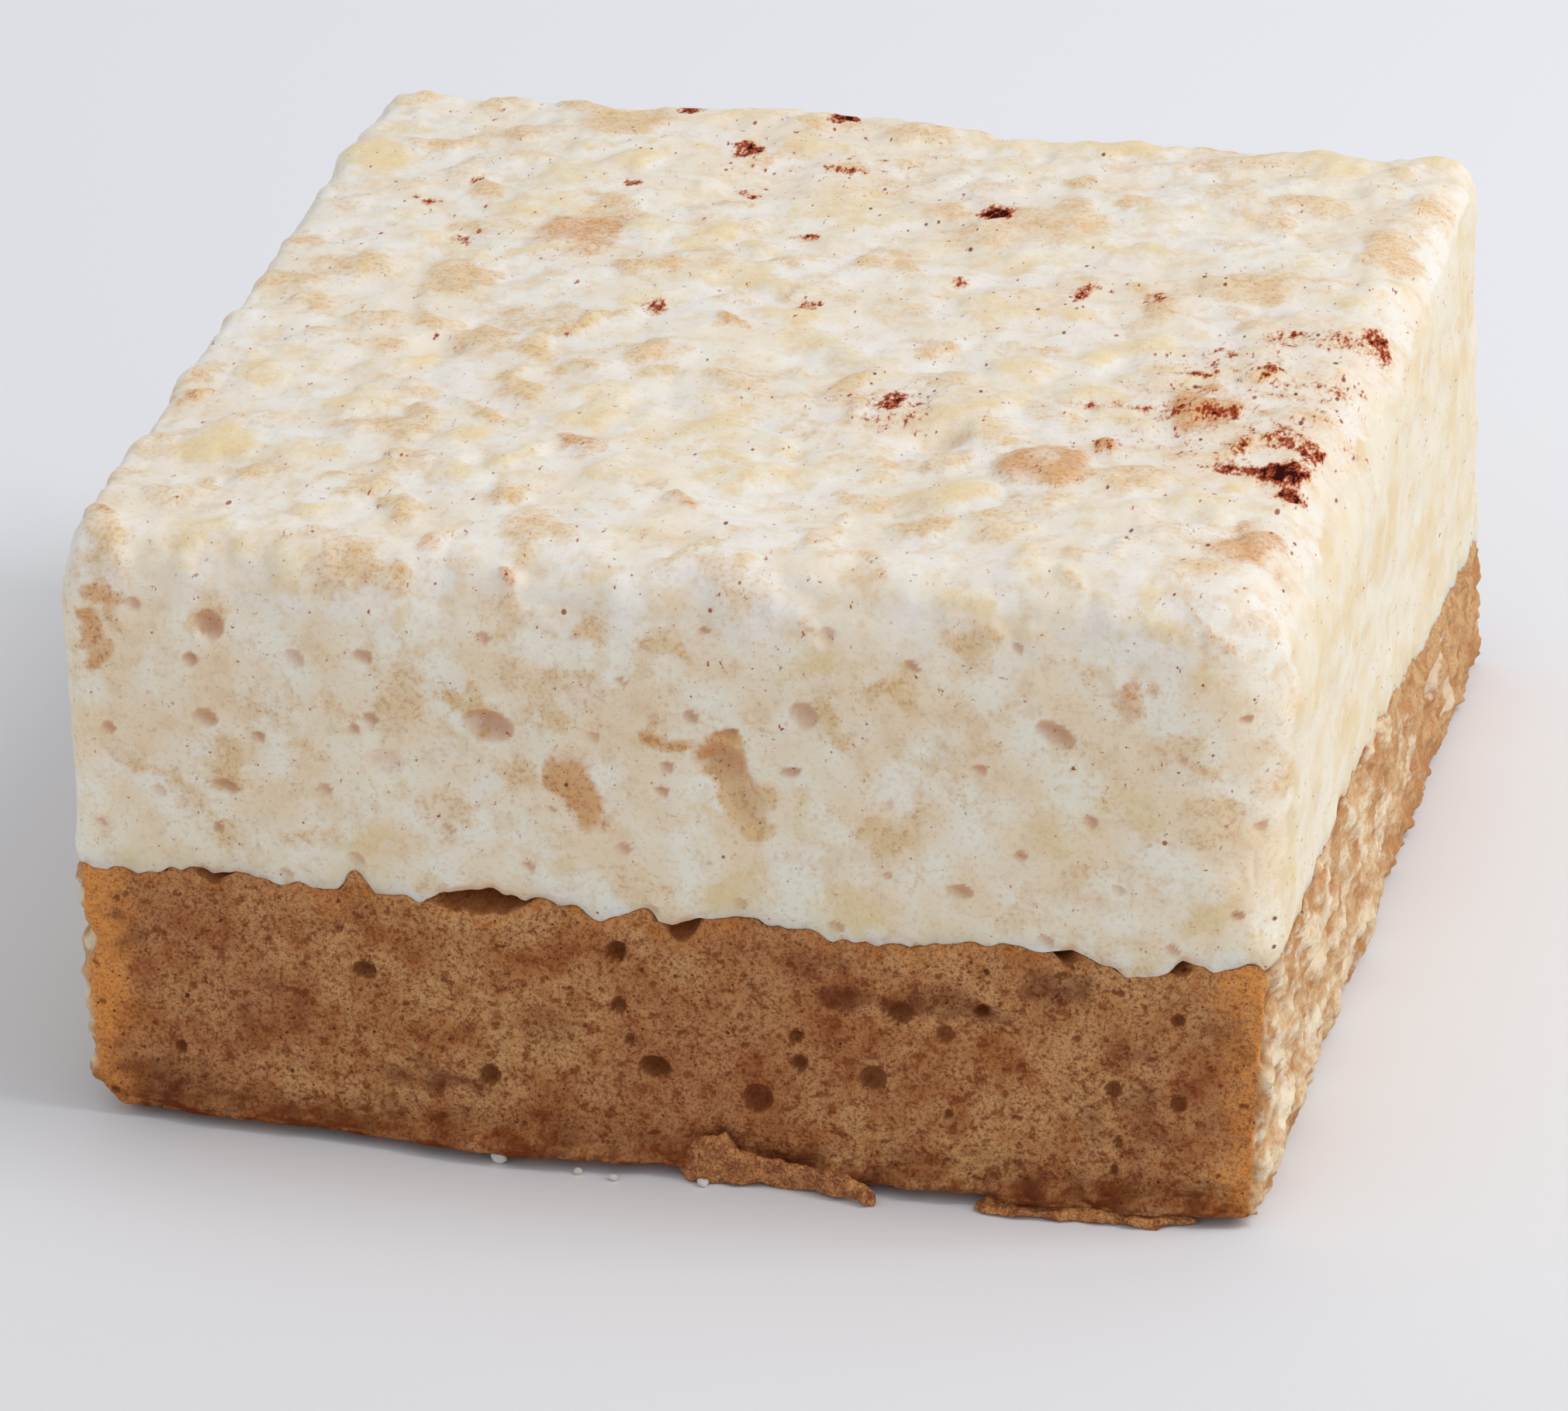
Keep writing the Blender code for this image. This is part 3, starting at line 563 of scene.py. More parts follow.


# How much a bubble's depth and painted shade lean to the upper right, how far the painted shade reaches
# past its rim, over which share of the way in it deepens, how steep the bubble must be, and the power of
# its shaded rim
WALL_LEAN = 0.7
DARK_REACH = 1.25
DARK_RIM = (0.0, 0.35)
DARK_STEEPNESS = (0.2, 0.8)
DARK_POWER = 0.75
# How much painted shade a bubble gets where lit is zero, and how much more its upper right wall, away from
# the light, gets
DARK_LEVEL, DARK_GAIN = 1.1, 1.5


def dig(side, bubbles, lit=0.0, power=DARK_POWER):
    """Depth of bubbles that the knife opened in a side, in millimetres, and the painted shade at each point
    in one.

    lit moves the depth and the painted shade towards a bubble's upper right wall, which faces away from the
    light.
    """
    depth = np.zeros(len(side.across))
    dark = np.zeros(len(side.across))
    for across, up, half_width, half_height, deep, turn in bubbles:
        reach = side.ellipse(across, up, half_width, half_height, turn)
        wall = WALL_LEAN * (side.across - across) / half_width + WALL_LEAN * (side.up - up) / half_height
        leaning = 1.0 - 0.5 * lit + 0.5 * lit * np.clip(wall, -1.0, 1.0)
        depth = np.maximum(depth, deep * leaning * dome(reach, power))
        inside = fade(dome(reach / DARK_REACH, DARK_POWER), *DARK_RIM)
        steep = fade(deep / half_height, *DARK_STEEPNESS)
        # Painted shade: strongest on the wall that faces away from the light
        shade = np.clip(DARK_LEVEL - lit + DARK_GAIN * lit * wall, 0.0, 1.0)
        dark = np.maximum(dark, inside * steep * shade)
    return depth * side.share, dark * side.share


# A grain's patch of colour is full near its middle and fades past its rim; its bump reaches further
PATCH_HEIGHT, PATCH_FALL = 1.1, 0.6
BUMP_REACH = 1.5


def show_grains(side, grains):
    """Cover, colour and rise of the grains that show on a side."""
    cover = np.zeros(len(side.across))
    colour = np.full(len(side.across), TAN)
    rise = np.zeros(len(side.across))
    for across, up, half_length, half_width, turn, tone, strength in grains:
        reach = side.ellipse(across, up, half_length, half_width, turn)
        patch = smooth(PATCH_HEIGHT - PATCH_FALL * reach) * strength
        colour = np.where(patch > cover, tone, colour)
        cover = np.maximum(cover, patch)
        rise = np.maximum(rise, dome(reach / BUMP_REACH, 1.0) * strength ** 0.5)
    return cover * side.share, colour, rise * side.share


def spots_on(side, spots, spread=1.0):
    """Strength of soft spots, each given by its place, one or two half sizes, and strength."""
    total = np.zeros(len(side.across))
    for across, up, *half_sizes, strength in spots:
        reach = side.ellipse(across, up, half_sizes[0] * spread, half_sizes[-1] * spread)
        total = np.maximum(total, strength * smooth(1.0 - reach))
    return total * side.share


def moved(points, normals, level, still, push):
    """Points pushed along their normals, level sides only sideways, apart from those that stay still."""
    direction = normals.copy()
    direction[level, 2] = 0.0
    direction /= np.maximum(np.linalg.norm(direction, axis=1, keepdims=True), TINY)
    return points + direction * np.where(still, 0.0, push)[:, None]


# How far the outlines of grains wander, over what length, the seeds for each axis, and the octaves
WARP, WARP_SEEDS, WARP_OCTAVES = (1.6 * MM, 3.4 * MM), (31, 34, 37), 3
# How far grains stand out on the soft top and on the cut sides, and how much less colour those sides show
GRAIN_RISE_TOP, GRAIN_RISE_CUT = 0.42 * MM, 0.06 * MM
SIDE_COVER_LOSS = 0.5
GRAIN_SEED = 5
# The light on the marshmallow's bubbles, and the power of their depth
BUBBLE_LIT, BUBBLE_POWER = 0.4, 1.1
# Relief of the top, of the uncut skin and of the cut sides: height, length of lumps, seed, octaves
TOP_SWELL = (0.6 * MM, 17.0 * MM, 41, 1)
SKIN_RELIEF = (0.14 * MM, (3.4 * MM, 2.4 * MM, 2.4 * MM), 43, 3)
SIDE_SWELL = (0.2 * MM, 7.0 * MM, 46, 1)
SIDE_RELIEF = (0.07 * MM, 1.6 * MM, 47, 2)
# How much of the skin's relief the left side and the back, which tore, have
TORN_SKIN = 0.5
# Round lumps of buried grains, with soft creases between them: height, length, seed, fullness
LUMP_HEIGHT, LUMP_LENGTH, LUMP_SEED, LUMP_FULLNESS = 0.5 * MM, 5.2 * MM, 44, 1.15
# The knife's drag on the right side: its height, noise, least share, and where the side starts
DRAG_HEIGHT = 0.2 * MM
DRAG_NOISE = (1.0, (4.0 * MM, 4.0 * MM, 3.0 * MM), 51, 2)
DRAG_LEAST, DRAG_FADE, DRAG_FACING = 0.3, (-0.7, 0.9), (0.8, 0.97)
# Where the skin ends and the cut inside starts, and how ragged that line is
SKIN_FACING = (0.1, 0.5)
SKIN_RAGGED = (0.1, 2.0 * MM, 53, 3)
# The low edge: how round it is, how high the open seam's painted shade and the browned edge reach, and the
# browning
LOW_EDGE_ROUND, LOW_EDGE_SHARE = 0.12 * MM, 1.0 / 24.0
OPEN_EDGE, BROWNED_EDGE = (0.0, 0.03), (0.0, 0.05)
BROWNED, BROWNED_NOISE, BROWNED_FADE = 0.6, (1.0, 1.6 * MM, 57, 3), (-0.1, 0.5)
# How much spice follows the outlines of grains, and how far it spreads
SPICE_WARP, SPICE_SPREAD = 0.5, 1.4


def grains_and_bubbles(points, normals, sides, warp):
    """Cover and colour of the grains, how far all points rise, and the painted shade in the bubbles."""
    cover, push, dark = np.zeros((3, len(points)))
    colour = np.full(len(points), TAN)
    draw = np.random.default_rng(GRAIN_SEED)
    for facing, side in sides.items():
        warped = Side(points, normals, facing, warp)
        side_cover, side_colour, rise = show_grains(warped, all_grains(draw, *GRAINS[facing]))
        colour = np.where(side_cover > cover, side_colour, colour)
        cover = np.maximum(cover, side_cover)
        push += (GRAIN_RISE_TOP if facing == "top" else GRAIN_RISE_CUT) * rise
        if facing in BUBBLES:
            depth, side_dark = dig(side, all_bubbles(draw, *BUBBLES[facing]), BUBBLE_LIT, BUBBLE_POWER)
            push -= depth * MM
            dark = np.maximum(dark, side_dark)
    return cover, colour, push, dark


def marshmallow_relief(points, sides, warp, pull):
    """Slow swells, dents, lumps of buried grains, and drag marks on the cut sides."""
    top = sides["top"]
    uncut = np.clip(top.share + TORN_SKIN * (sides["left"].share + sides["back"].share), 0.0, 1.0)
    lumps = smooth(LUMP_FULLNESS - cell_noise(points + warp, LUMP_LENGTH, LUMP_SEED))
    push = relief(points, *TOP_SWELL) * top.share
    for across, back, half_width, half_depth, deep in TOP_DENTS:
        push -= deep * MM * dome(top.ellipse(across, back, half_width, half_depth)) * top.share
    push += (LUMP_HEIGHT * (lumps - 0.5) + relief(points, *SKIN_RELIEF)) * uncut
    push += (relief(points, *SIDE_SWELL) + relief(points, *SIDE_RELIEF)) * (1.0 - top.share)
    return push + DRAG_HEIGHT * pull * sides["right"].share ** 2


def low_edge_shade_and_browning(points, w):
    """Painted shade where the seam is open, and where cake browns the marshmallow's low edge."""
    open_edge = openness(points[:, 0], points[:, 1]) * (1.0 - fade(w, *OPEN_EDGE))
    browned = BROWNED * fade(relief(points, *BROWNED_NOISE), *BROWNED_FADE) * (1.0 - fade(w, *BROWNED_EDGE))
    return np.maximum(open_edge, browned)


def shape_marshmallow():
    cube, faces = cube_lattice(MARSHMALLOW_CELLS, False)
    points, w = layer_points(cube, True)
    mesh = make_mesh("marshmallow_and_rice", points, faces)
    normals = normals_of(mesh)
    warp = np.column_stack([relief(points, *WARP, seed, WARP_OCTAVES) for seed in WARP_SEEDS])
    sides = {facing: Side(points, normals, facing) for facing in ("front", "back", "left", "right", "top")}
    top = sides["top"]
    pull = relief(points, *DRAG_NOISE)
    ragged = relief(points, *SKIN_RAGGED)

    cover, colour, push, dark = grains_and_bubbles(points, normals, sides, warp)
    push += marshmallow_relief(points, sides, warp, pull)
    push -= LOW_EDGE_ROUND * dome((w / LOW_EDGE_SHARE) ** 2, 1.0) * (1.0 - top.share)
    underside = w < TINY
    inner = underside & (np.maximum(np.abs(cube[:, 0]), np.abs(cube[:, 1])) < 1.0 - TINY)
    move_points(mesh, moved(points, normals, underside, inner, push))

    across_sides = sides["left"].share + sides["right"].share
    dragged = DRAG_LEAST + (1.0 - DRAG_LEAST) * fade(pull, *DRAG_FADE)
    paint(mesh, "cover", cover * (1.0 - SIDE_COVER_LOSS * across_sides))
    paint(mesh, "tone", colour)
    paint(mesh, "spice", spots_on(Side(points, normals, "top", SPICE_WARP * warp), SPICE, SPICE_SPREAD))
    paint(mesh, "dust", spots_on(top, DUST) + spots_on(sides["front"], FRONT_DUST))
    # Painted shade in the bubbles and where the seam is open, with the real browning of the low edge
    paint(mesh, "shade_and_browning", np.maximum(dark, low_edge_shade_and_browning(points, w)))
    # The right side's mask: the knife's drag, which also carries painted shade for that brightly lit side
    paint(mesh, "drag_and_shade", dragged * fade(normals[:, 0] + ragged, *DRAG_FACING))
    paint(mesh, "cut", 1.0 - fade(normals[:, 2] + ragged, *SKIN_FACING))
    return mesh


# The baked crust stands out along the front's foot: place across and how far out
FOOT_OUT = [
    (-34.0, 0.2), (-30.0, 0.4), (-18.5, 0.9), (-8.0, 1.7), (-3.0, 1.5), (1.4, 0.8), (9.5, 1.1),
    (12.1, 1.3), (13.0, 0.9), (18.4, 0.8), (19.6, 1.1), (21.0, 1.3), (27.0, 1.2), (29.3, 1.2), (31.4, 0.7),
    (35.0, 0.4)]
# The undercut below it, and how high it stands before it fades
UNDERCUT_DEPTH = 1.8 * MM
UNDERCUT_HEIGHT = 0.75 * MM
FOOT_HEIGHT = 1.2 * MM
FOOT_FADE = 0.65 * MM
# Where the front left foot crumbled away, and which way what is left of it lies
LOST_CORNER = (-37.4 * MM, -41.0 * MM, 0.0)
LOST_SIZE = (2.1 * MM, 12.0 * MM, 2.1 * MM)
LOST_LIFT = 1.0 * MM
LOST_START = 1.3
LOST_DIRECTION = (0.6, 0.25, 1.0)
NICK = (-37.0 * MM, -40.5 * MM, 11.8 * MM)
NICK_RADIUS = 1.9 * MM
NICK_DEPTH = 0.9 * MM
NICK_DIRECTION = np.array([1.0, 1.0, 0.0]) / math.sqrt(2.0)

# Thin flakes of crust that lift off the foot: across, back and up of the low rim and of the top rim, and
# half thickness
RAISED_FLAKE = [
    (0.4, -41.0, 0.1, -40.7, 0.9, 0.15), (1.5, -41.7, 0.1, -40.9, 2.6, 0.35),
    (3.5, -41.6, 0.1, -41.1, 3.3, 0.3), (4.3, -41.5, 0.1, -41.3, 2.2, 0.4),
    (6.6, -41.1, 0.1, -41.2, 1.8, 0.4), (8.9, -41.5, 0.1, -41.5, 1.6, 0.45),
    (11.0, -42.3, 0.1, -41.9, 1.5, 0.4), (12.2, -42.6, 0.1, -42.1, 1.3, 0.3),
    (12.8, -42.6, 0.2, -42.3, 0.8, 0.1)]
LOW_FLAKE = [
    (18.8, -42.0, 0.2, -41.2, 0.25, 0.1), (19.4, -42.3, 0.2, -40.8, 0.5, 0.25),
    (21.9, -42.4, 0.25, -40.6, 0.8, 0.3), (24.4, -42.3, 0.25, -40.6, 0.85, 0.3),
    (26.9, -42.2, 0.25, -40.6, 0.8, 0.3), (29.5, -42.3, 0.3, -40.7, 0.75, 0.35),
    (31.0, -41.6, 0.25, -40.8, 0.6, 0.25), (32.2, -41.2, 0.2, -40.9, 0.3, 0.1)]
# Painted shade: dark lines in the gaps just above the flakes and other ledges of crust: across and up
SHADE_LINES = [
    [(2.8, 3.1), (3.8, 2.9), (5.1, 1.9), (6.8, 1.5), (9.1, 1.2), (12.8, 0.9), (15.5, 0.6)],
    [(18.4, 0.9), (26.4, 1.5), (28.5, 1.1), (33.0, 1.0)], [(-33.5, 3.0), (-31.0, 2.6), (-27.0, 2.0)],
    [(-16.5, 5.4), (-14.0, 5.2), (-11.0, 4.4)]]
SHADE_LINE_REACH = 0.5 * MM
# Darker baked patches on the cut front: across, up, half width, half height, strength
SCORCH_PATCHES = [
    (10.8, 12.9, 2.0, 1.0, 0.9), (13.6, 12.6, 1.6, 0.7, 0.8), (16.6, 13.0, 2.2, 1.2, 1.0),
    (19.4, 12.7, 1.6, 0.8, 0.7), (23.4, 14.8, 2.6, 1.4, 0.7), (9.1, 14.9, 2.4, 1.2, 0.5),
    (-34.4, 13.0, 1.6, 2.0, 0.5), (33.5, 12.4, 2.0, 2.6, 0.5), (-32.0, 3.0, 3.5, 2.0, 0.6),
    (-16.0, 4.6, 3.0, 0.9, 0.7), (-26.0, 8.0, 4.0, 3.0, 0.3), (28.5, 7.5, 5.0, 5.0, 0.35)]

# Marshmallow crumbs on the table along the foot: across, back and size
CRUMBS = [(-10.6, -41.7, 0.55), (-5.6, -42.1, 0.28), (-3.3, -42.4, 0.3), (2.2, -42.1, 0.35)]

# Marshmallow that the knife dragged over the cake's right side: back, up, half width, half height
SMEARS = [
    (10.9, 6.1, 3.0, 2.2), (0.1, 7.1, 2.6, 3.4), (20.5, 8.2, 2.4, 1.8), (23.7, 9.2, 1.6, 1.4),
    (25.6, 4.3, 2.6, 2.0), (-21.6, 12.0, 2.6, 2.4), (-12.0, 3.0, 3.4, 2.4), (-23.1, 4.0, 3.0, 2.8),
    (-34.6, 6.0, 1.8, 3.6), (-38.4, 10.0, 0.9, 6.0), (-30.0, 14.0, 2.2, 1.8)]


# How ragged the lip along the foot is, in its height, in how far it stands out, and besides
LIP_NOISE = (1.0, (3.0 * MM, 6.0 * MM, 2.0 * MM), 61, 3)
LIP_HEIGHT_RAGGED, LIP_OUT_RAGGED, LIP_RAGGED = 0.6, 0.25, 0.12 * MM
# Painted shade lines: how their height wanders, how they break up and their soft end; and the scorched
# patches' rims
SHADE_AND_SCORCH_RAGGED, SHADE_LINE_BROKEN = (1.0, 1.8 * MM, 64, 4), (1.0, 2.4 * MM, 68, 3)
SHADE_LINE_WANDER, SHADE_LINE_BREAKS, SHADE_LINE_TAIL = 2.0, (-0.35, 0.25), 3 * SHADE_LINE_REACH
PATCH_SPREAD, PATCH_RAGGED, PATCH_FADE, PATCH_RIM = 1.3, 0.5, (0.1, 1.1), (0.0, 0.2)
# The cake's relief: height, length of lumps, seed, octaves
CAKE_SWELL = (0.2 * MM, 8.0 * MM, 71, 1)
CAKE_RELIEF = (0.08 * MM, 0.9 * MM, 72, 2)
TORN_SWELL = (0.4 * MM, (3.0 * MM, 5.0 * MM, 2.6 * MM), 74, 2)
# Crumbs that stand up where the cake tore: they run along the depth, leaning up towards the back
TORN_HEIGHT, TORN_SQUEEZE, TORN_LEAN = 0.34 * MM, (1.0, 0.45, 1.0), 0.25
TORN_FULLNESS, TORN_CELL, TORN_SEED, TORN_NOISE = 0.62, 0.7 * MM, 73, (0.7, 1.8 * MM, 78, 3)
# Towards the back they pale less
PALE_FRONT_TO_BACK = (-10.0, 30.0)
# Worn upright edges: where they start across the lattice, the depth, its least share and its noise
EDGE_START, EDGE_WEAR, EDGE_LEAST, EDGE_NOISE = (0.97, 1.0), 0.3 * MM, 0.25, (1.0, 1.6 * MM, 77, 3)
TOP_EDGE_ROUND, TOP_EDGE_SHARE = 0.14 * MM, 1.0 / 22.0
CAKE_OPEN_EDGE = (0.97, 1.0)
# The noise that breaks up smears and the baked foot, how sharp a smear is, and the left side's thin one
WOBBLE_NOISE, SMEAR_SHARPNESS = (0.6, 2.4 * MM, 75, 3), 1.3
LEFT_SMEAR, LEFT_SMEAR_FADE = 0.3, (0.15, 0.6)
# The baked foot: how its height wanders, where it ends, and how much of it the right side lacks
CRUST_WANDER, CRUST_FADE, CRUST_LOSS_RIGHT = 2.0, (0.2, 3.6), 0.8
# The orange shine near the front's edges: its noise, where it starts across, and less of it under the seam
GLOW_NOISE = (1.6, 5.0 * MM, 79, 3)
GLOW_WANDER, GLOW_ACROSS = 1.2, (31.0, 37.0)
GLOW_TOP, GLOW_TOP_WANDER, GLOW_UP = 0.4, 0.06, (0.88, 1.0)
CAKE_BUBBLE_SEED = 9


def crust_lip(points, side):
    """How far the baked crust stands out along the foot of the front."""
    across, out = np.array(FOOT_OUT).T * MM
    ragged = relief(points, *LIP_NOISE)
    top_edge = FOOT_HEIGHT * (1.0 + LIP_HEIGHT_RAGGED * ragged)
    low = 1.0 - smooth((points[:, 2] - top_edge) / FOOT_FADE)
    lip = np.interp(points[:, 0], across, out) * (1.0 + LIP_OUT_RAGGED * ragged) + LIP_RAGGED * ragged
    return lip * side.share * low


def shade_and_scorch(points, side):
    """1 on the painted shade lines above the flakes and on the real baked patches."""
    total = np.zeros(len(points))
    ragged = relief(points, *SHADE_AND_SCORCH_RAGGED)
    broken = fade(relief(points, *SHADE_LINE_BROKEN), *SHADE_LINE_BREAKS)
    for line in SHADE_LINES:
        across, up = np.array(line).T * MM
        x = points[:, 0]
        away = (points[:, 2] - np.interp(x, across, up)) / SHADE_LINE_REACH + SHADE_LINE_WANDER * ragged
        start = smooth((x - across[0]) / SHADE_LINE_REACH)
        end = smooth((across[-1] - x) / SHADE_LINE_TAIL)
        total = np.maximum(total, start * end * np.exp(-away ** 2))
    patches = spots_on(side, SCORCH_PATCHES, PATCH_SPREAD)
    dark = fade(patches + PATCH_RAGGED * ragged, *PATCH_FADE) * fade(patches, *PATCH_RIM)
    return np.maximum(total * broken, dark) * side.share


def crumble_corner(points):
    """Wears away the front left foot and nicks the edge above it."""
    away = np.linalg.norm((points - np.array(LOST_CORNER)) / np.array(LOST_SIZE), axis=1)
    points = points + LOST_LIFT * np.outer(smooth(LOST_START - away), LOST_DIRECTION)
    nick = smooth(1.0 - np.linalg.norm(points - np.array(NICK), axis=1) / NICK_RADIUS)
    return points + NICK_DEPTH * np.outer(nick, NICK_DIRECTION)


def torn_crumbs(points):
    """How far crumbs stand up where the cake tore, as a share."""
    leaning = points * np.array(TORN_SQUEEZE)
    leaning[:, 2] += TORN_LEAN * (points[:, 0] + np.sign(points[:, 0]) * points[:, 1])
    return TORN_FULLNESS - cell_noise(leaning, TORN_CELL, TORN_SEED) + relief(leaning, *TORN_NOISE)


def cake_relief(points, sides, cube, torn, crumb):
    """Lumps and crumbs, the crust's lip, worn upright edges, and the undercut below the foot."""
    push = relief(points, *CAKE_SWELL) + relief(points, *CAKE_RELIEF)
    push += torn * (TORN_HEIGHT * crumb + relief(points, *TORN_SWELL))
    push += crust_lip(points, sides["front"])
    upright_edge = fade(np.abs(cube[:, 0]), *EDGE_START) * (sides["front"].share + torn)
    push -= EDGE_WEAR * upright_edge * (EDGE_LEAST + relief(points, *EDGE_NOISE))
    return push - UNDERCUT_DEPTH * dome((points[:, 2] / UNDERCUT_HEIGHT) ** 2, 1.0)


def smeared(sides, wobble):
    """Marshmallow that the knife dragged over the right side, and a little over the left."""
    smear = np.zeros_like(wobble)
    for back, up, half_width, half_height in SMEARS:
        reach = sides["right"].ellipse(back, up, half_width, half_height)
        smear = np.maximum(smear, smooth(SMEAR_SHARPNESS * (1.0 - reach + wobble)))
    thin = LEFT_SMEAR * fade(wobble, *LEFT_SMEAR_FADE)
    return np.maximum(smear * sides["right"].share, thin * sides["left"].share)


def edge_glow(points, w):
    """1 near the front's upright edges, and less along its top, where the crumb shines orange."""
    uneven = relief(points, *GLOW_NOISE)
    near_side = fade(np.abs(points[:, 0]) / MM + GLOW_WANDER * uneven, *GLOW_ACROSS)
    return np.maximum(near_side, GLOW_TOP * fade(w + GLOW_TOP_WANDER * uneven, *GLOW_UP))


def shape_cake():
    cube, faces = cube_lattice(CAKE_CELLS, True)
    points, w = layer_points(cube, False)
    mesh = make_mesh("spice_cake", points, faces)
    normals = normals_of(mesh)
    level = (w < TINY) | (w > 1.0 - TINY)
    rim = np.maximum(np.abs(cube[:, 0]), np.abs(cube[:, 1])) > 1.0 - TINY
    sides = {facing: Side(points, normals, facing) for facing in ("front", "back", "left", "right")}
    front, right = sides["front"], sides["right"]
    torn = np.clip(right.share + sides["left"].share, 0.0, 1.0)
    crumb = torn_crumbs(points)

    push = cake_relief(points, sides, cube, torn, crumb)
    push -= TOP_EDGE_ROUND * dome(((1.0 - w) / TOP_EDGE_SHARE) ** 2, 1.0)
    dark = np.zeros(len(points))
    draw = np.random.default_rng(CAKE_BUBBLE_SEED)
    for facing, holes in CAKE_HOLES.items():
        depth, side_dark = dig(sides[facing], all_bubbles(draw, *holes))
        push -= depth * MM
        dark = np.maximum(dark, side_dark)
    points = moved(points, normals, level, level & ~rim, push)
    points = np.where(rim[:, None], crumble_corner(points), points)
    move_points(mesh, points)

    wobble = relief(points, *WOBBLE_NOISE)
    height = points[:, 2] / MM + CRUST_WANDER * wobble
    open_edge = openness(points[:, 0], points[:, 1]) * fade(w, *CAKE_OPEN_EDGE)
    # Painted shade: in the bubbles, where the seam is open, and on the level sides inside the rim
    paint(mesh, "shade_and_browning", np.maximum(np.maximum(dark, open_edge), level & ~rim))
    # Painted shade lines in the gaps above the flakes, and the scorched patches
    paint(mesh, "shade_and_scorch", shade_and_scorch(points, front))
    paint(mesh, "smear", smeared(sides, wobble))
    paint(mesh, "torn", torn)
    paint(mesh, "crumb", crumb - fade(points[:, 1] / MM, *PALE_FRONT_TO_BACK))
    paint(mesh, "crust", (1.0 - fade(height, *CRUST_FADE)) * (1.0 - CRUST_LOSS_RIGHT * right.share))
    paint(mesh, "glow", front.share * edge_glow(points, w))
    return mesh


# Flakes: how many sections and points round each, how square a section is, and how ragged
FLAKE_STEPS, FLAKE_TURNS, FLAKE_SQUARENESS = 160, 40, 0.7
FLAKE_RAGGED, FLAKE_SEEDS, FLAKE_OCTAVES = (0.24 * MM, 1.2 * MM), (81, 85, 89), 4
FLAKE_LOWEST = 0.02 * MM
# Crumbs on the table: bands and sectors of their lattice, their shape, and how ragged
CRUMB_BANDS, CRUMB_SECTORS, CRUMB_SHAPE = 8, 12, (1.0, 0.8, 0.65)
CRUMB_RAGGED, CRUMB_SEED, CRUMB_OCTAVES = (0.45, 1.1), 90, 2


def tube(points, faces, ring, steps, turns):
    """Adds rings of points, given one after another, and the cells between them; returns their numbers."""
    ids = len(points) + np.arange(steps * turns).reshape(steps, turns)
    closed = np.concatenate([ids, ids[:, :1]], axis=1)
    faces += cells_between(closed, False)
    points += ring.tolist()
    return closed


def shape_flakes():
    """Both flakes of crust: ragged sheets whose sections follow the lists above."""
    points, faces = [], []
    turn = np.linspace(0.0, 2 * np.pi, FLAKE_TURNS, endpoint=False)
    waves = np.sin(turn), np.cos(turn)
    rise, bulge = [np.sign(wave) * np.abs(wave) ** FLAKE_SQUARENESS for wave in waves]
    for sections in (RAISED_FLAKE, LOW_FLAKE):
        x, *rows = np.array(sections).T
        along = np.linspace(x[0], x[-1], FLAKE_STEPS)
        low_y, low_z, top_y, top_z, half_thick = [np.interp(along, x, row)[:, None] for row in rows]
        long_y, long_z = (top_y - low_y) / 2, (top_z - low_z) / 2
        out = half_thick * bulge / np.hypot(long_y, long_z)
        ring_y = low_y + long_y * (1.0 + rise) - out * long_z
        ring_z = low_z + long_z * (1.0 + rise) + out * long_y
        ring_x = np.broadcast_to(along[:, None], ring_y.shape)
        ring = np.stack([ring_x, ring_y, ring_z], axis=2).reshape(-1, 3) * MM
        ring += np.column_stack([relief(ring, *FLAKE_RAGGED, seed, FLAKE_OCTAVES) for seed in FLAKE_SEEDS])
        ring[:, 2] = np.maximum(ring[:, 2], FLAKE_LOWEST)
        closed = tube(points, faces, ring, FLAKE_STEPS, FLAKE_TURNS)
        faces += [closed[0, :-1].tolist(), closed[-1, -2::-1].tolist()]
    return make_mesh("crust_flakes", np.array(points), faces)


def shape_crumbs():
    """Small ragged lumps on the table beside the foot."""
    points, faces = [], []
    polar = np.linspace(0.0, np.pi, CRUMB_BANDS + 1)[1:-1]
    turn = np.linspace(0.0, 2 * np.pi, CRUMB_SECTORS, endpoint=False)
    ring = np.stack([np.outer(np.sin(polar), np.cos(turn)), np.outer(np.sin(polar), np.sin(turn)),
                     np.outer(np.cos(polar), np.ones(CRUMB_SECTORS))], axis=2).reshape(-1, 3)
    ball = np.concatenate([ring, [[0.0, 0.0, 1.0], [0.0, 0.0, -1.0]]])
    for number, (x, y, size) in enumerate(CRUMBS):
        lump = ball * (1.0 + relief(ball, *CRUMB_RAGGED, CRUMB_SEED + number, CRUMB_OCTAVES)[:, None])
        lump *= size * np.array(CRUMB_SHAPE) * MM
        lump += np.array([x * MM, y * MM, -lump[:, 2].min()])
        closed = tube(points, faces, lump, CRUMB_BANDS - 1, CRUMB_SECTORS)
        top, low = len(points) - 2, len(points) - 1
        for sector in range(CRUMB_SECTORS):
            faces.append([top, int(closed[0, sector]), int(closed[0, sector + 1])])
            faces.append([low, int(closed[-1, sector + 1]), int(closed[-1, sector])])
    return make_mesh("marshmallow_crumbs", np.array(points), faces)


# Materials

# A stain comes in as a value rises from low to high, and then covers its share of what is below it
Stain = namedtuple("Stain", "low high share colour")

# How far and over what length the cells of the cake's pits are shaken out of round
RAGGED_REACH = 0.4 * MM
RAGGED_LENGTH = 0.5 * MM
# The soft rim of a speck, as a share of its cell, and how much a speck covers
SPECK_RIM = 0.1
SPECK_COVER = 0.85
NOISE_MIDDLE = 0.5


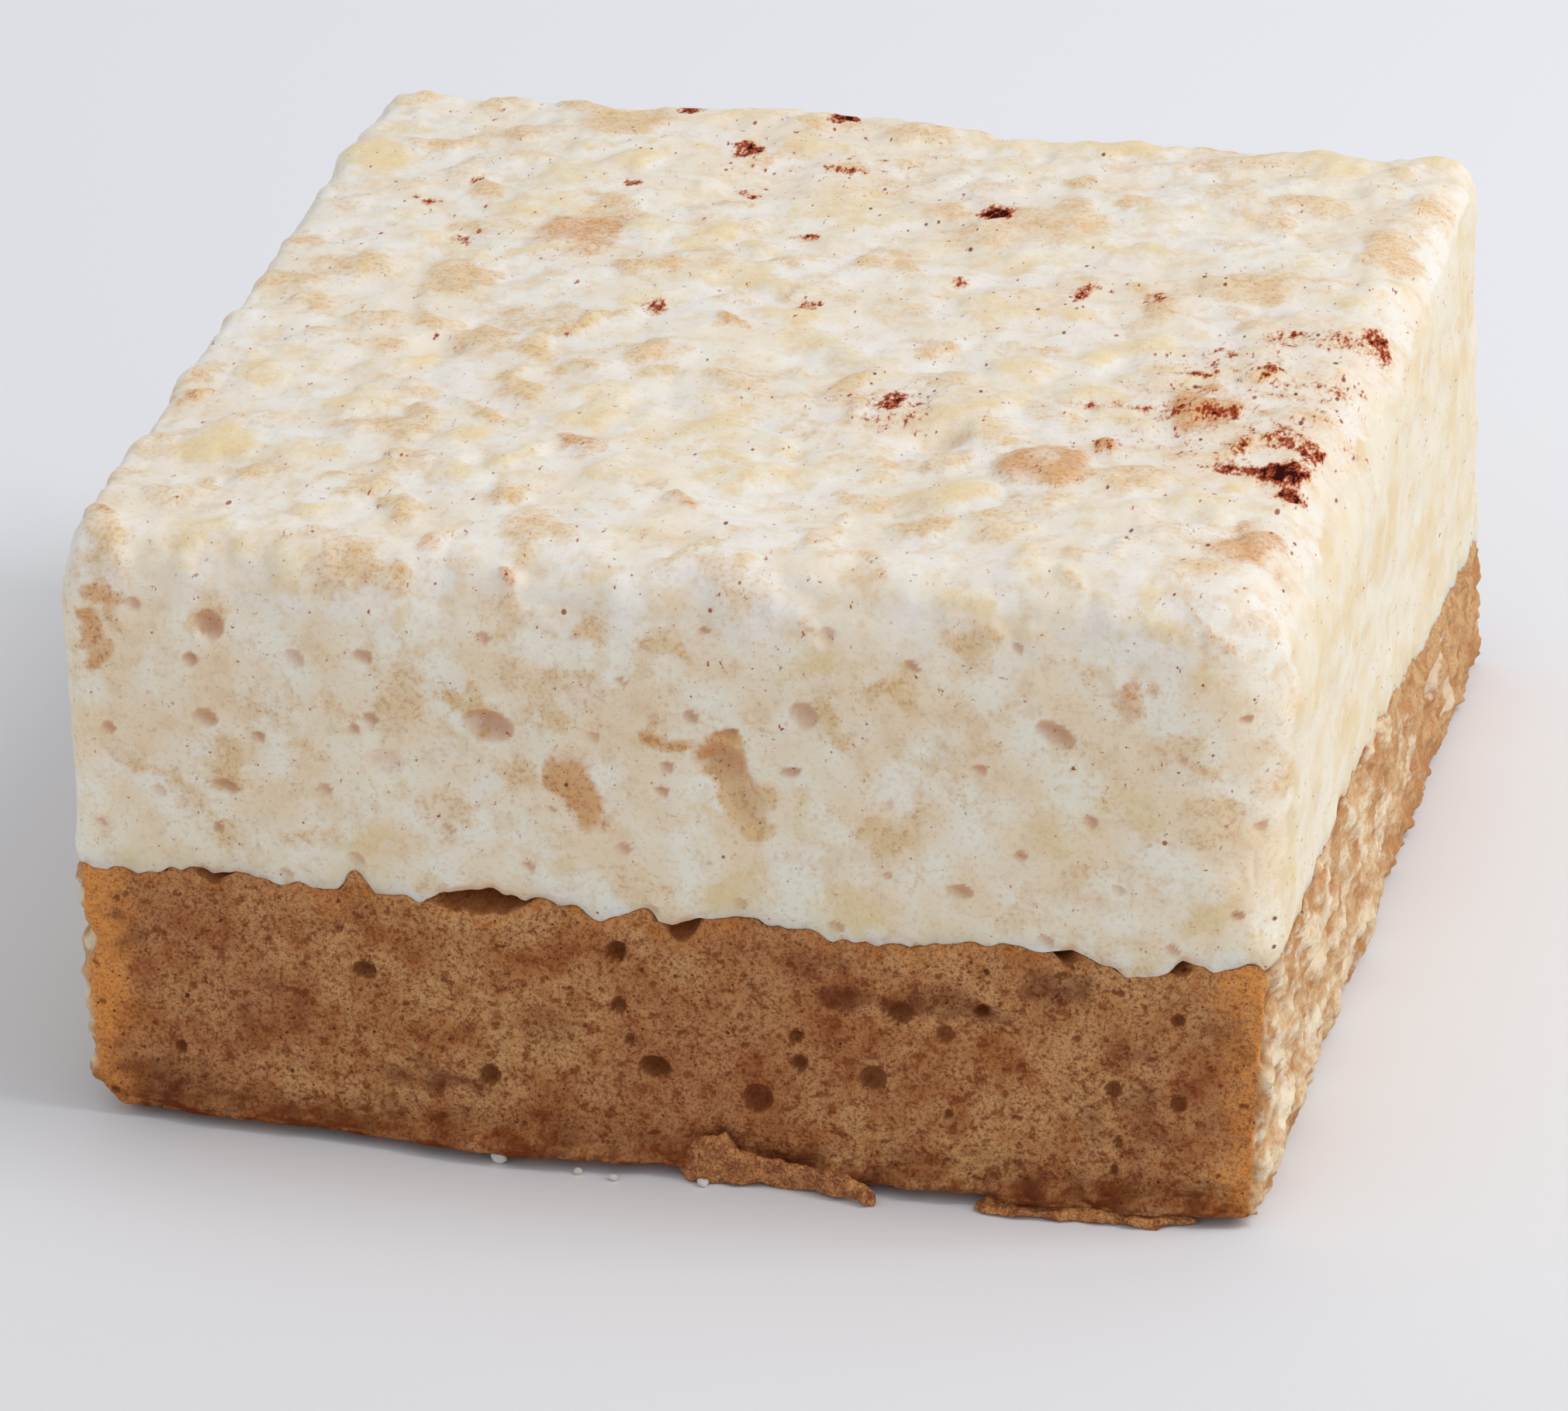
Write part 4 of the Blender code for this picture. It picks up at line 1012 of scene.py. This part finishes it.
class Number:
    """A number that varies over a surface; arithmetic on it adds math nodes to its material."""

    def __init__(self, shading, socket):
        self.shading = shading
        self.socket = socket

    def __add__(self, other):
        return self.shading.math("ADD", self, other)

    def __sub__(self, other):
        return self.shading.math("SUBTRACT", self, other)

    def __rsub__(self, other):
        return self.shading.math("SUBTRACT", other, self)

    def __mul__(self, other):
        return self.shading.math("MULTIPLY", self, other)

    def __lt__(self, other):
        return self.shading.math("LESS_THAN", self, other)

    def __gt__(self, other):
        return self.shading.math("GREATER_THAN", self, other)


class Shading:
    """A node material with short calls for the nodes used here."""

    def __init__(self, name):
        self.material = bpy.data.materials.new(name)
        self.material.use_nodes = True
        self.nodes = self.material.node_tree.nodes
        self.links = self.material.node_tree.links
        self.shader = self.nodes["Principled BSDF"]
        self.place = self.add("ShaderNodeTexCoord").outputs["Object"]

    def add(self, kind, inputs=None, **settings):
        made = self.nodes.new(kind)
        for key, value in settings.items():
            setattr(made, key, value)
        self.feed(made, inputs or {})
        return made

    def feed(self, node, inputs):
        """Links each input of a node to a number or another socket, or sets its value."""
        for key, value in inputs.items():
            value = getattr(value, "socket", value)
            if isinstance(value, bpy.types.NodeSocket):
                self.links.new(value, node.inputs[key])
            else:
                node.inputs[key].default_value = value

    def number(self, kind, output, inputs=None, **settings):
        return Number(self, self.add(kind, inputs, **settings).outputs[output])

    def attributes(self, *names):
        return [self.number("ShaderNodeAttribute", "Fac", attribute_name=name) for name in names]

    def stretched(self, scale):
        """The place on the object, longer along the axes whose scale is under 1."""
        if scale is None:
            return self.place
        return self.add("ShaderNodeMapping", {"Vector": self.place, "Scale": scale}).outputs["Vector"]

    def noise(self, length, detail, rough, scale=None):
        place = self.stretched(scale)
        inputs = {"Vector": place, "Scale": 1.0 / length, "Detail": detail, "Roughness": rough}
        return self.number("ShaderNodeTexNoise", "Fac", inputs)

    def swing(self, noise, strength):
        """Noise moved to lie about zero, and made stronger."""
        return (noise - NOISE_MIDDLE) * strength

    def cells(self, length, place):
        """Distance from the middles of scattered cells, and three numbers drawn for each cell."""
        found = self.add("ShaderNodeTexVoronoi", {"Vector": place, "Scale": 1.0 / length}).outputs
        drawn = self.add("ShaderNodeSeparateColor", {"Color": found["Color"]}).outputs
        return [Number(self, socket) for socket in (found["Distance"], *drawn)]

    def math(self, operation, first, second):
        return self.number("ShaderNodeMath", "Value", {0: first, 1: second}, operation=operation)

    def fade(self, value, low, high):
        inputs = {"Value": value, "From Min": low, "From Max": high}
        return self.number("ShaderNodeMapRange", "Result", inputs, interpolation_type="SMOOTHSTEP")

    def mix(self, share, first, second):
        return self.add("ShaderNodeMix", {0: share, 6: first, 7: second}, data_type="RGBA").outputs[2]

    def stain(self, colour, value, stain, within=None):
        """Lays a stain over a colour where the value brings it in; within holds it back further."""
        share = self.fade(value, stain.low, stain.high) * stain.share
        return self.mix(share if within is None else share * within, colour, stain.colour)

    def specks(self, colour, cells, density, colours, spread):
        """Scatters specks between two colours; density is the share of cells that hold one."""
        distance, choice, size, tint = cells
        dot = 1.0 - self.fade(distance - size * spread, 0.0, SPECK_RIM)
        return self.mix((choice < density) * dot * SPECK_COVER, colour, self.mix(tint, *colours))

    def ragged(self):
        """The place on the object, shaken by noise so that round cells come out ragged."""
        inputs = {"Vector": self.place, "Scale": 1.0 / RAGGED_LENGTH, "Detail": 1.0}
        shake = self.add("ShaderNodeTexNoise", inputs).outputs["Color"]
        away = self.add("ShaderNodeVectorMath", {0: shake, 1: (NOISE_MIDDLE,) * 3}, operation="SUBTRACT")
        inputs = {0: away.outputs["Vector"], 1: (RAGGED_REACH,) * 3, 2: self.place}
        return self.add("ShaderNodeVectorMath", inputs, operation="MULTIPLY_ADD").outputs["Vector"]

    def finish(self, inputs, height, distance, strength):
        """Sets the shader's inputs and its bumps, and returns the material."""
        bump = self.add("ShaderNodeBump", {"Height": height, "Distance": distance, "Strength": strength})
        self.feed(self.shader, {"Normal": bump.outputs["Normal"], **inputs})
        return self.material


# Noises of the marshmallow: length, detail, roughness and, where one is stretched, scale of each axis
WARMTH_NOISE = (5.0 * MM, 1.0, 0.6)
MIDDLE_NOISE = (1.7 * MM, 3.0, 0.62)
FINE_NOISE = (0.34 * MM, 2.0, 0.75)
BLOTCH_NOISE = (2.6 * MM, 2.0, 0.6, (1.0, 0.45, 0.75))
FLECK_NOISE = (0.6 * MM, 2.0, 0.95, (1.0, 0.45, 1.0))
WRINKLE_NOISE = (1.0 * MM, 2.0, 0.75, (0.7, 0.5, 1.0))
WARMTH_FADE = (0.35, 0.65)
# Its skin and its cut inside, cold and warm, and what mottles them
SKIN = srgb(244, 238, 229), srgb(242, 230, 211)
INSIDE = srgb(251, 242, 226), srgb(247, 226, 196)
MOTTLE = Stain(0.45, 0.68, 0.44, srgb(232, 205, 163))
DOTS = Stain(0.5, 0.7, 0.15, srgb(214, 180, 140))
# The right side, dragged by the knife: where it starts, its colour, darkened in part as painted shade, and
# cream yellow blotches
DRAGGED_AND_SHADED = Stain(0.0, 0.25, 0.8, srgb(231, 222, 201))
DRAGGED_MOTTLE = 0.545
BLOTCH = Stain(-0.2, 1.2, 0.8, srgb(228, 202, 152))
BLOTCH_DRAG, BLOTCH_SWING = 0.4, 4.4
# Grains of each colour, how their outlines break up, and the stipple on the darker ones
YELLOW_GRAIN, TAN_GRAIN, ORANGE_GRAIN = srgb(238, 214, 166), srgb(231, 198, 148), srgb(223, 171, 112)
GRAIN_FADE, GRAIN_COVER = (0.0, 1.15), 0.92
GRAIN_MIDDLE_SWING, GRAIN_FINE_SWING = 1.5, 0.6
STIPPLE = Stain(0.48, 0.64, 0.5, srgb(184, 112, 64))
STIPPLE_LEAST = 0.2
# Pores, painted as shade: their cells, the lowest draw that makes one, their rim, and their colour beside
# that of bubbles
PORE_CELL, PORE_SCALE = 0.8 * MM, (1.0, 0.5, 1.0)
PORE_DRAW, PORE_RIM = 0.86, (0.1, 0.26)
PORE_COVER, PORE_COLOUR = 0.35, srgb(208, 160, 120)
HOLLOW_SHADE_AND_BROWNING = Stain(0.05, 0.95, 0.7, srgb(208, 150, 102))
# Spice from its faint halo to its dark middle, how flecks break it up, and its specks: colours, spread,
# share of cells with one everywhere, and share added in dust
SPICE_HALO = Stain(0.2, 1.2, 0.12, srgb(226, 184, 140))
SPICE_TAN = Stain(0.0, 0.7, 0.65, srgb(214, 148, 92))
SPICE_RUST = Stain(0.5, 1.0, 0.9, srgb(158, 50, 18))
SPICE_DARK = Stain(1.0, 1.6, 0.95, srgb(40, 14, 16))
SPICE_TAN_FADE = (0.0, 0.4)
FLECK_SWING = 3.6
SPICE_SPECKS, SPICE_SPECK_SPREAD = (srgb(170, 74, 30), srgb(78, 24, 14)), 0.18
SPECKS_EVERYWHERE, SPECKS_IN_DUST = 0.012, 0.42
# How green a colour is when it starts to shine and let light through, and the most of both
CLEAR_FADE = (0.08, 0.4)
SHEEN, GLOW_WEIGHT, GLOW_SCALE, GLOW_REACH = 0.3, 0.5, 3.0 * MM, (1.0, 0.78, 0.55)
SKIN_ROUGHNESS, CUT_ROUGHNESS = 0.45, 0.2


def marshmallow_ground(g, fine, middle, cut, aside):
    """Skin and cut inside, mottled and dotted; the brightly lit right side darkened, partly as painted
    shade.
    """
    warmth = g.fade(g.noise(*WARMTH_NOISE), *WARMTH_FADE)
    colour = g.mix(cut, g.mix(warmth, *SKIN), g.mix(warmth, *INSIDE))
    # Partly painted shade: the brightly lit right side is darkened
    colour = g.mix(aside * DRAGGED_AND_SHADED.share, colour, DRAGGED_AND_SHADED.colour)
    colour = g.stain(colour, middle, MOTTLE, 1.0 - aside * DRAGGED_MOTTLE)
    return g.stain(colour, fine, DOTS, (cut + 1.0) * (1.0 - aside))


def show_rice(g, colour, fine, middle):
    """Grains that show through the skin with soft, broken edges."""
    cover, tone = g.attributes("cover", "tone")
    broken = g.swing(middle, GRAIN_MIDDLE_SWING) + g.swing(fine, GRAIN_FINE_SWING)
    grain = g.mix(g.fade(tone, YELLOW, TAN), YELLOW_GRAIN, TAN_GRAIN)
    grain = g.mix(g.fade(tone, TAN, ORANGE), grain, ORANGE_GRAIN)
    grain = g.stain(grain, fine, STIPPLE, tone + STIPPLE_LEAST)
    return g.mix(g.fade(cover + broken, *GRAIN_FADE) * GRAIN_COVER, colour, grain)


def open_pores(g, colour, pores, cut):
    """Painted shade in small bubbles cut open on the sides, and in the larger ones and open seams; the
    browned low edge too.
    """
    shade_and_browning, = g.attributes("shade_and_browning")
    distance, choice = pores[:2]
    # A pore is only colour: painted shade in a small open bubble
    pore = (choice > PORE_DRAW) * (1.0 - g.fade(distance, *PORE_RIM)) * cut
    return g.stain(g.mix(pore * PORE_COVER, colour, PORE_COLOUR), shade_and_browning, HOLLOW_SHADE_AND_BROWNING)


def spice_stains(g, colour, pores):
    """Ground spice: rust stains round dark flecks, and single fine specks all over."""
    spice, dust = g.attributes("spice", "dust")
    amount = spice + g.swing(g.noise(*FLECK_NOISE), FLECK_SWING)
    halo = g.math("MAXIMUM", dust, spice)
    colour = g.stain(colour, halo, SPICE_HALO)
    colour = g.stain(colour, amount, SPICE_TAN, g.fade(spice, *SPICE_TAN_FADE))
    colour = g.stain(colour, amount, SPICE_RUST)
    colour = g.stain(colour, amount, SPICE_DARK)
    density = halo * SPECKS_IN_DUST + SPECKS_EVERYWHERE
    return g.specks(colour, pores, density, SPICE_SPECKS, SPICE_SPECK_SPREAD)


def marshmallow_material():
    g = Shading("marshmallow")
    cut, drag_and_shade = g.attributes("cut", "drag_and_shade")
    aside = g.fade(drag_and_shade, DRAGGED_AND_SHADED.low, DRAGGED_AND_SHADED.high)
    fine, middle = g.noise(*FINE_NOISE), g.noise(*MIDDLE_NOISE)
    pores = g.cells(PORE_CELL, g.stretched(PORE_SCALE))
    colour = show_rice(g, marshmallow_ground(g, fine, middle, cut, aside), fine, middle)
    blotched = drag_and_shade * BLOTCH_DRAG + g.swing(g.noise(*BLOTCH_NOISE), BLOTCH_SWING)
    colour = g.stain(colour, blotched, BLOTCH, aside)
    colour = spice_stains(g, open_pores(g, colour, pores, cut), pores)
    # Dark stains and specks neither shine nor let light through
    clear = g.fade(g.number("ShaderNodeSeparateColor", "Green", {"Color": colour}), *CLEAR_FADE)
    inputs = {"Base Color": colour, "Roughness": cut * CUT_ROUGHNESS + SKIN_ROUGHNESS,
              "Specular IOR Level": clear * SHEEN, "Subsurface Weight": clear * GLOW_WEIGHT,
              "Subsurface Radius": GLOW_REACH, "Subsurface Scale": GLOW_SCALE}
    return g.finish(inputs, g.noise(*WRINKLE_NOISE), 0.12 * MM, 0.8)


# Noises of the cake, the same way
CAKE_FINE = (0.26 * MM, 2.0, 0.95)
CAKE_CRUMB = (0.8 * MM, 2.0, 0.85, (1.0, 0.5, 1.0))
CAKE_PATCH = (2.6 * MM, 2.0, 0.6)
CAKE_SLOW = (12.0 * MM, 1.0, 0.55)
CAKE_STREAK = (1.1 * MM, 2.0, 0.75, (0.4, 0.4, 1.3))
# The cut front: two crumb colours, and what darkens them, broad to fine
CRUMB_FADE, CRUMB_COLOURS = (0.35, 0.68), (srgb(214, 160, 106), srgb(186, 122, 72))
RUSSET = Stain(0.4, 0.7, 0.5, srgb(178, 112, 70))
BROWN_PATCH = Stain(0.62, 0.76, 0.4, srgb(132, 66, 30))
BROWN_CRUMB = Stain(0.5, 0.66, 0.75, srgb(138, 68, 32))
DARK_CRUMB = Stain(0.38, 0.76, 0.85, srgb(102, 42, 18))
# The orange shine near its edges, where dark crumbs are fewer
SHINE = Stain(0.0, 1.05, 0.85, srgb(243, 161, 84))
SHINE_SWING, SHINE_RIM, SHINE_CLEARS = 1.6, (0.0, 0.6), 0.235
# Pits, painted as shade: their cells, the lowest draw that makes one, the most that they spread, their rim
# and colour
PIT_CELL, PIT_DRAW, PIT_SPREAD, PIT_RIM = 1.1 * MM, 0.8, 0.14, (0.04, 0.16)
PIT_COVER, PIT_SHADE_COLOUR = 0.7, srgb(122, 64, 30)
# The torn sides: bare crumb, its fine grains, and the pale tips that stand up, partly a painted highlight
BARE_FADE, BARE = (0.4, 0.62), (srgb(214, 174, 128), srgb(194, 142, 94))
BARE_GRAIN = Stain(0.46, 0.62, 0.5, srgb(168, 110, 66))
PALE_TIP_HIGHLIGHT = Stain(-0.3, 1.2, 0.85, srgb(240, 224, 194))
TIP_HEIGHT, TIP_CRUMB_SWING, TIP_FINE_SWING = 1.6, 2.4, 1.8
# The foot, streaked; painted shade lines and scorched patches; painted shade in bubbles and open seams; and
# smears of marshmallow
BAKED, BAKED_LEAST = Stain(0.42, 0.58, 0.6, srgb(112, 52, 20)), 0.4
SHADE_AND_SCORCH_COVER, SHADED_AND_SCORCHED = 0.75, srgb(96, 40, 20)
CAKE_HOLLOW_SHADE = Stain(0.1, 0.7, 0.75, srgb(116, 60, 26))
SMEARED = Stain(0.25, 1.1, 0.6, srgb(243, 230, 206))
SMEAR_SWING, SMEAR_RIM = 2.4, (0.0, 0.3)
CAKE_SPECKS, CAKE_SPECK_SPREAD, CAKE_SPECK_SHARE = (srgb(138, 58, 30), srgb(66, 28, 16)), 0.15, 0.34
SPECK_CELL = 0.5 * MM
# How much the fine noise adds to the bumps of the cake and the flakes
BUMP_FINE_SHARE = 0.4


def cut_crumb(g, fine, crumb, patch):
    """The cut front: brown patches, an orange shine near the edges, and dark fine crumbs."""
    glow, = g.attributes("glow")
    colour = g.mix(g.fade(patch, *CRUMB_FADE), *CRUMB_COLOURS)
    colour = g.stain(colour, g.noise(*CAKE_SLOW), RUSSET)
    colour = g.stain(colour, patch, BROWN_PATCH)
    colour = g.stain(colour, crumb, BROWN_CRUMB)
    shine = g.fade(glow + g.swing(crumb, SHINE_SWING), SHINE.low, SHINE.high) * g.fade(glow, *SHINE_RIM)
    colour = g.mix(shine * SHINE.share, colour, SHINE.colour)
    return g.stain(colour, fine, DARK_CRUMB, 1.0 - shine * SHINE_CLEARS)


def cake_pits(g, colour, pits, torn):
    """Painted shade of shallow ragged pits in the cut sides."""
    distance, choice, size = pits[:3]
    pit = 1.0 - g.fade(distance - size * PIT_SPREAD, *PIT_RIM)
    return g.mix(pit * (choice > PIT_DRAW) * (1.0 - torn) * PIT_COVER, colour, PIT_SHADE_COLOUR)


def torn_crumb(g, fine, crumb, patch):
    """The torn sides: pale tips of crumb, partly a painted highlight, over orange crumb."""
    height, = g.attributes("crumb")
    colour = g.stain(g.mix(g.fade(patch, *BARE_FADE), *BARE), fine, BARE_GRAIN)
    tips = height * TIP_HEIGHT + g.swing(crumb, TIP_CRUMB_SWING) + g.swing(fine, TIP_FINE_SWING)
    return g.stain(colour, tips, PALE_TIP_HIGHLIGHT)


def bake_and_smear(g, colour, crumb):
    """The darker foot, painted shade lines and scorched patches, painted shade in hollows, and marshmallow
    that the knife dragged down.
    """
    crust, shaded_and_scorched, shade_and_browning, smear = g.attributes("crust", "shade_and_scorch", "shade_and_browning", "smear")
    streaks = g.fade(g.noise(*CAKE_STREAK), BAKED.low, BAKED.high) * BAKED.share + BAKED_LEAST
    colour = g.mix(crust * streaks, colour, BAKED.colour)
    colour = g.mix(shaded_and_scorched * SHADE_AND_SCORCH_COVER, colour, SHADED_AND_SCORCHED)
    colour = g.stain(colour, shade_and_browning, CAKE_HOLLOW_SHADE)
    return g.stain(colour, smear + g.swing(crumb, SMEAR_SWING), SMEARED, g.fade(smear, *SMEAR_RIM))


def cake_material():
    g = Shading("spice_cake")
    torn, = g.attributes("torn")
    fine, crumb, patch = g.noise(*CAKE_FINE), g.noise(*CAKE_CRUMB), g.noise(*CAKE_PATCH)
    pits = g.cells(PIT_CELL, g.ragged())
    colour = cake_pits(g, cut_crumb(g, fine, crumb, patch), pits, torn)
    colour = g.mix(torn, colour, torn_crumb(g, fine, crumb, patch))
    colour = bake_and_smear(g, colour, crumb)
    density = (1.0 - torn) * CAKE_SPECK_SHARE
    for cells in (g.cells(SPECK_CELL, g.place), pits):
        colour = g.specks(colour, cells, density, CAKE_SPECKS, CAKE_SPECK_SPREAD)
    inputs = {"Base Color": colour, "Roughness": 0.85, "Specular IOR Level": 0.12}
    return g.finish(inputs, crumb + fine * BUMP_FINE_SHARE, 0.2 * MM, 0.9)


# The flakes: noises, two crust colours, and their dark fine grains and light ones that are partly painted
# glints; low above high fades out
FLAKE_FINE = (0.16 * MM, 3.0, 0.85)
FLAKE_CRUMB = (0.9 * MM, 3.0, 0.8)
FLAKE_FADE, FLAKE_CRUST = (0.38, 0.62), (srgb(214, 146, 82), srgb(158, 88, 42))
FLAKE_DARK = Stain(0.48, 0.64, 0.7, srgb(98, 42, 18))
FLAKE_PALE_AND_GLINT = Stain(0.44, 0.32, 0.55, srgb(246, 204, 146))
FLAKE_ROUGHNESS = (-0.2, 1.2)


def crust_material():
    g = Shading("baked_crust")
    fine, crumb = g.noise(*FLAKE_FINE), g.noise(*FLAKE_CRUMB)
    colour = g.mix(g.fade(crumb, *FLAKE_FADE), *FLAKE_CRUST)
    colour = g.stain(g.stain(colour, fine, FLAKE_DARK), fine, FLAKE_PALE_AND_GLINT)
    inputs = {"Base Color": colour, "Roughness": g.fade(fine, *FLAKE_ROUGHNESS), "Specular IOR Level": 0.4}
    return g.finish(inputs, crumb + fine * BUMP_FINE_SHARE, 0.25 * MM, 1.0)


# The pale surface: its colours near the front and far back, between these depths in metres; brighter
# towards the back as painted light
FLOOR_COLOURS = srgb(231, 231, 234), srgb(243, 243, 247)
FLOOR_FADE = (-0.14, 0.2)
FLOOR_CLOUDS, FLOOR_SWING = (160.0 * MM, 2.0, 0.55), 0.1
FLOOR_GRAIN = (2.0 * MM, 0.0, 0.55)


def floor_material():
    g = Shading("pale_floor")
    depth = g.number("ShaderNodeSeparateXYZ", "Y", {"Vector": g.place})
    # Painted light: the floor brightens towards the back, wandering with slow clouds
    clouded = depth + g.swing(g.noise(*FLOOR_CLOUDS), FLOOR_SWING)
    colour = g.mix(g.fade(clouded, *FLOOR_FADE), *FLOOR_COLOURS)
    inputs = {"Base Color": colour, "Roughness": 0.9, "Specular IOR Level": 0.1}
    return g.finish(inputs, g.noise(*FLOOR_GRAIN), 0.01 * MM, 0.2)


# The object's pieces

def add_object(name, mesh, material):
    mesh.materials.append(material)
    piece = bpy.data.objects.new(name, mesh)
    bpy.context.scene.collection.objects.link(piece)
    return piece


def points_of(mesh):
    points = np.empty(len(mesh.vertices) * 3)
    mesh.vertices.foreach_get("co", points)
    return points.reshape(-1, 3)


def centre_on_cad(layers, meshes):
    """Moves the meshes so that the middle of the layers' plan is the CAD model's, and returns the move."""
    together = np.concatenate([points_of(mesh) for mesh in layers])
    move = (CAD_LOW + CAD_HIGH) / 2 - (together.min(axis=0) + together.max(axis=0)) / 2
    move[2] = 0.0
    for mesh in meshes:
        move_points(mesh, points_of(mesh) + move)
    return move


def build_object():
    layers = [shape_marshmallow(), shape_cake()]
    small = [shape_flakes(), shape_crumbs()]
    move = centre_on_cad(layers, layers + small)
    sweet, cake, crust = marshmallow_material(), cake_material(), crust_material()
    for mesh, material, slot in zip(layers + small, [sweet, cake, crust, sweet],
                                    ["marshmallow", "spice_cake", "spice_cake", "marshmallow"]):
        piece = add_object(mesh.name, mesh, material)
        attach(piece, "root")
        if mesh.name == "marshmallow_and_rice":
            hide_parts("marshmallow_rice_layer")
        if mesh.name == "spice_cake":
            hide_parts("spice_cake_base")
    return move


# Floor, light and camera

FLOOR_HALF = 1.6
SKY_COLOUR = (0.93, 0.96, 1.0, 1.0)
SKY_STRENGTH = 0.63
KEY_DIRECTION = (0.68, 0.04, 0.73)
KEY_DISTANCE = 0.68
KEY_WIDTH = 0.28
KEY_HEIGHT = 0.52
KEY_POWER = 2.25
KEY_COLOUR = (1.0, 0.98, 0.95)

# The camera, from the block's corners in the photograph: angles in degrees, distance and aim in metres
CAMERA_AZIMUTH = 12.77
CAMERA_ELEVATION = 25.51
CAMERA_ROLL = -0.96
CAMERA_DISTANCE = 0.4011
CAMERA_AIM = (-0.0005, -0.0059, 0.0150)
CAMERA_LENS = 142.4
CAMERA_SENSOR = 36.0
CAMERA_CLIP_START = 0.01


def add_floor():
    mesh = bpy.data.meshes.new("floor")
    corners = [(x * FLOOR_HALF, y * FLOOR_HALF, 0.0) for x, y in ((-1, -1), (1, -1), (1, 1), (-1, 1))]
    mesh.from_pydata(corners, [], [(0, 1, 2, 3)])
    floor = add_object("floor", mesh, floor_material())


def add_light():
    world = bpy.data.worlds.new("studio")
    bpy.context.scene.world = world
    world.use_nodes = True
    sky = world.node_tree.nodes["Background"]
    sky.inputs["Color"].default_value = SKY_COLOUR
    sky.inputs["Strength"].default_value = SKY_STRENGTH
    lamp = bpy.data.lights.new("key", "AREA")
    lamp.energy = KEY_POWER
    lamp.shape = "RECTANGLE"
    lamp.size = KEY_WIDTH
    lamp.size_y = KEY_HEIGHT
    lamp.color = KEY_COLOUR
    key = bpy.data.objects.new("key", lamp)
    direction = Vector(KEY_DIRECTION).normalized()
    key.location = direction * KEY_DISTANCE
    key.rotation_euler = direction.to_track_quat("Z", "Y").to_euler()
    bpy.context.scene.collection.objects.link(key)


def add_camera(move):
    azimuth, elevation, roll = [math.radians(a) for a in (CAMERA_AZIMUTH, CAMERA_ELEVATION, CAMERA_ROLL)]
    back = Vector((math.sin(azimuth) * math.cos(elevation), -math.cos(azimuth) * math.cos(elevation),
                   math.sin(elevation)))
    level = Vector((math.cos(azimuth), math.sin(azimuth), 0.0))
    upright = back.cross(level)
    right = level * math.cos(roll) + upright * math.sin(roll)
    up = back.cross(right)
    camera = bpy.data.cameras.new("camera")
    camera.lens = CAMERA_LENS
    camera.sensor_width = CAMERA_SENSOR
    camera.clip_start = CAMERA_CLIP_START
    view = bpy.data.objects.new("camera", camera)
    place = Vector(CAMERA_AIM) + Vector(move) + back * CAMERA_DISTANCE
    view.matrix_world = Matrix.Translation(place) @ Matrix((right, up, back)).transposed().to_4x4()
    bpy.context.scene.collection.objects.link(view)
    bpy.context.scene.camera = view


move = build_object()
add_floor()
add_light()
add_camera(move)
bpy.context.scene.view_settings.view_transform = "Standard"
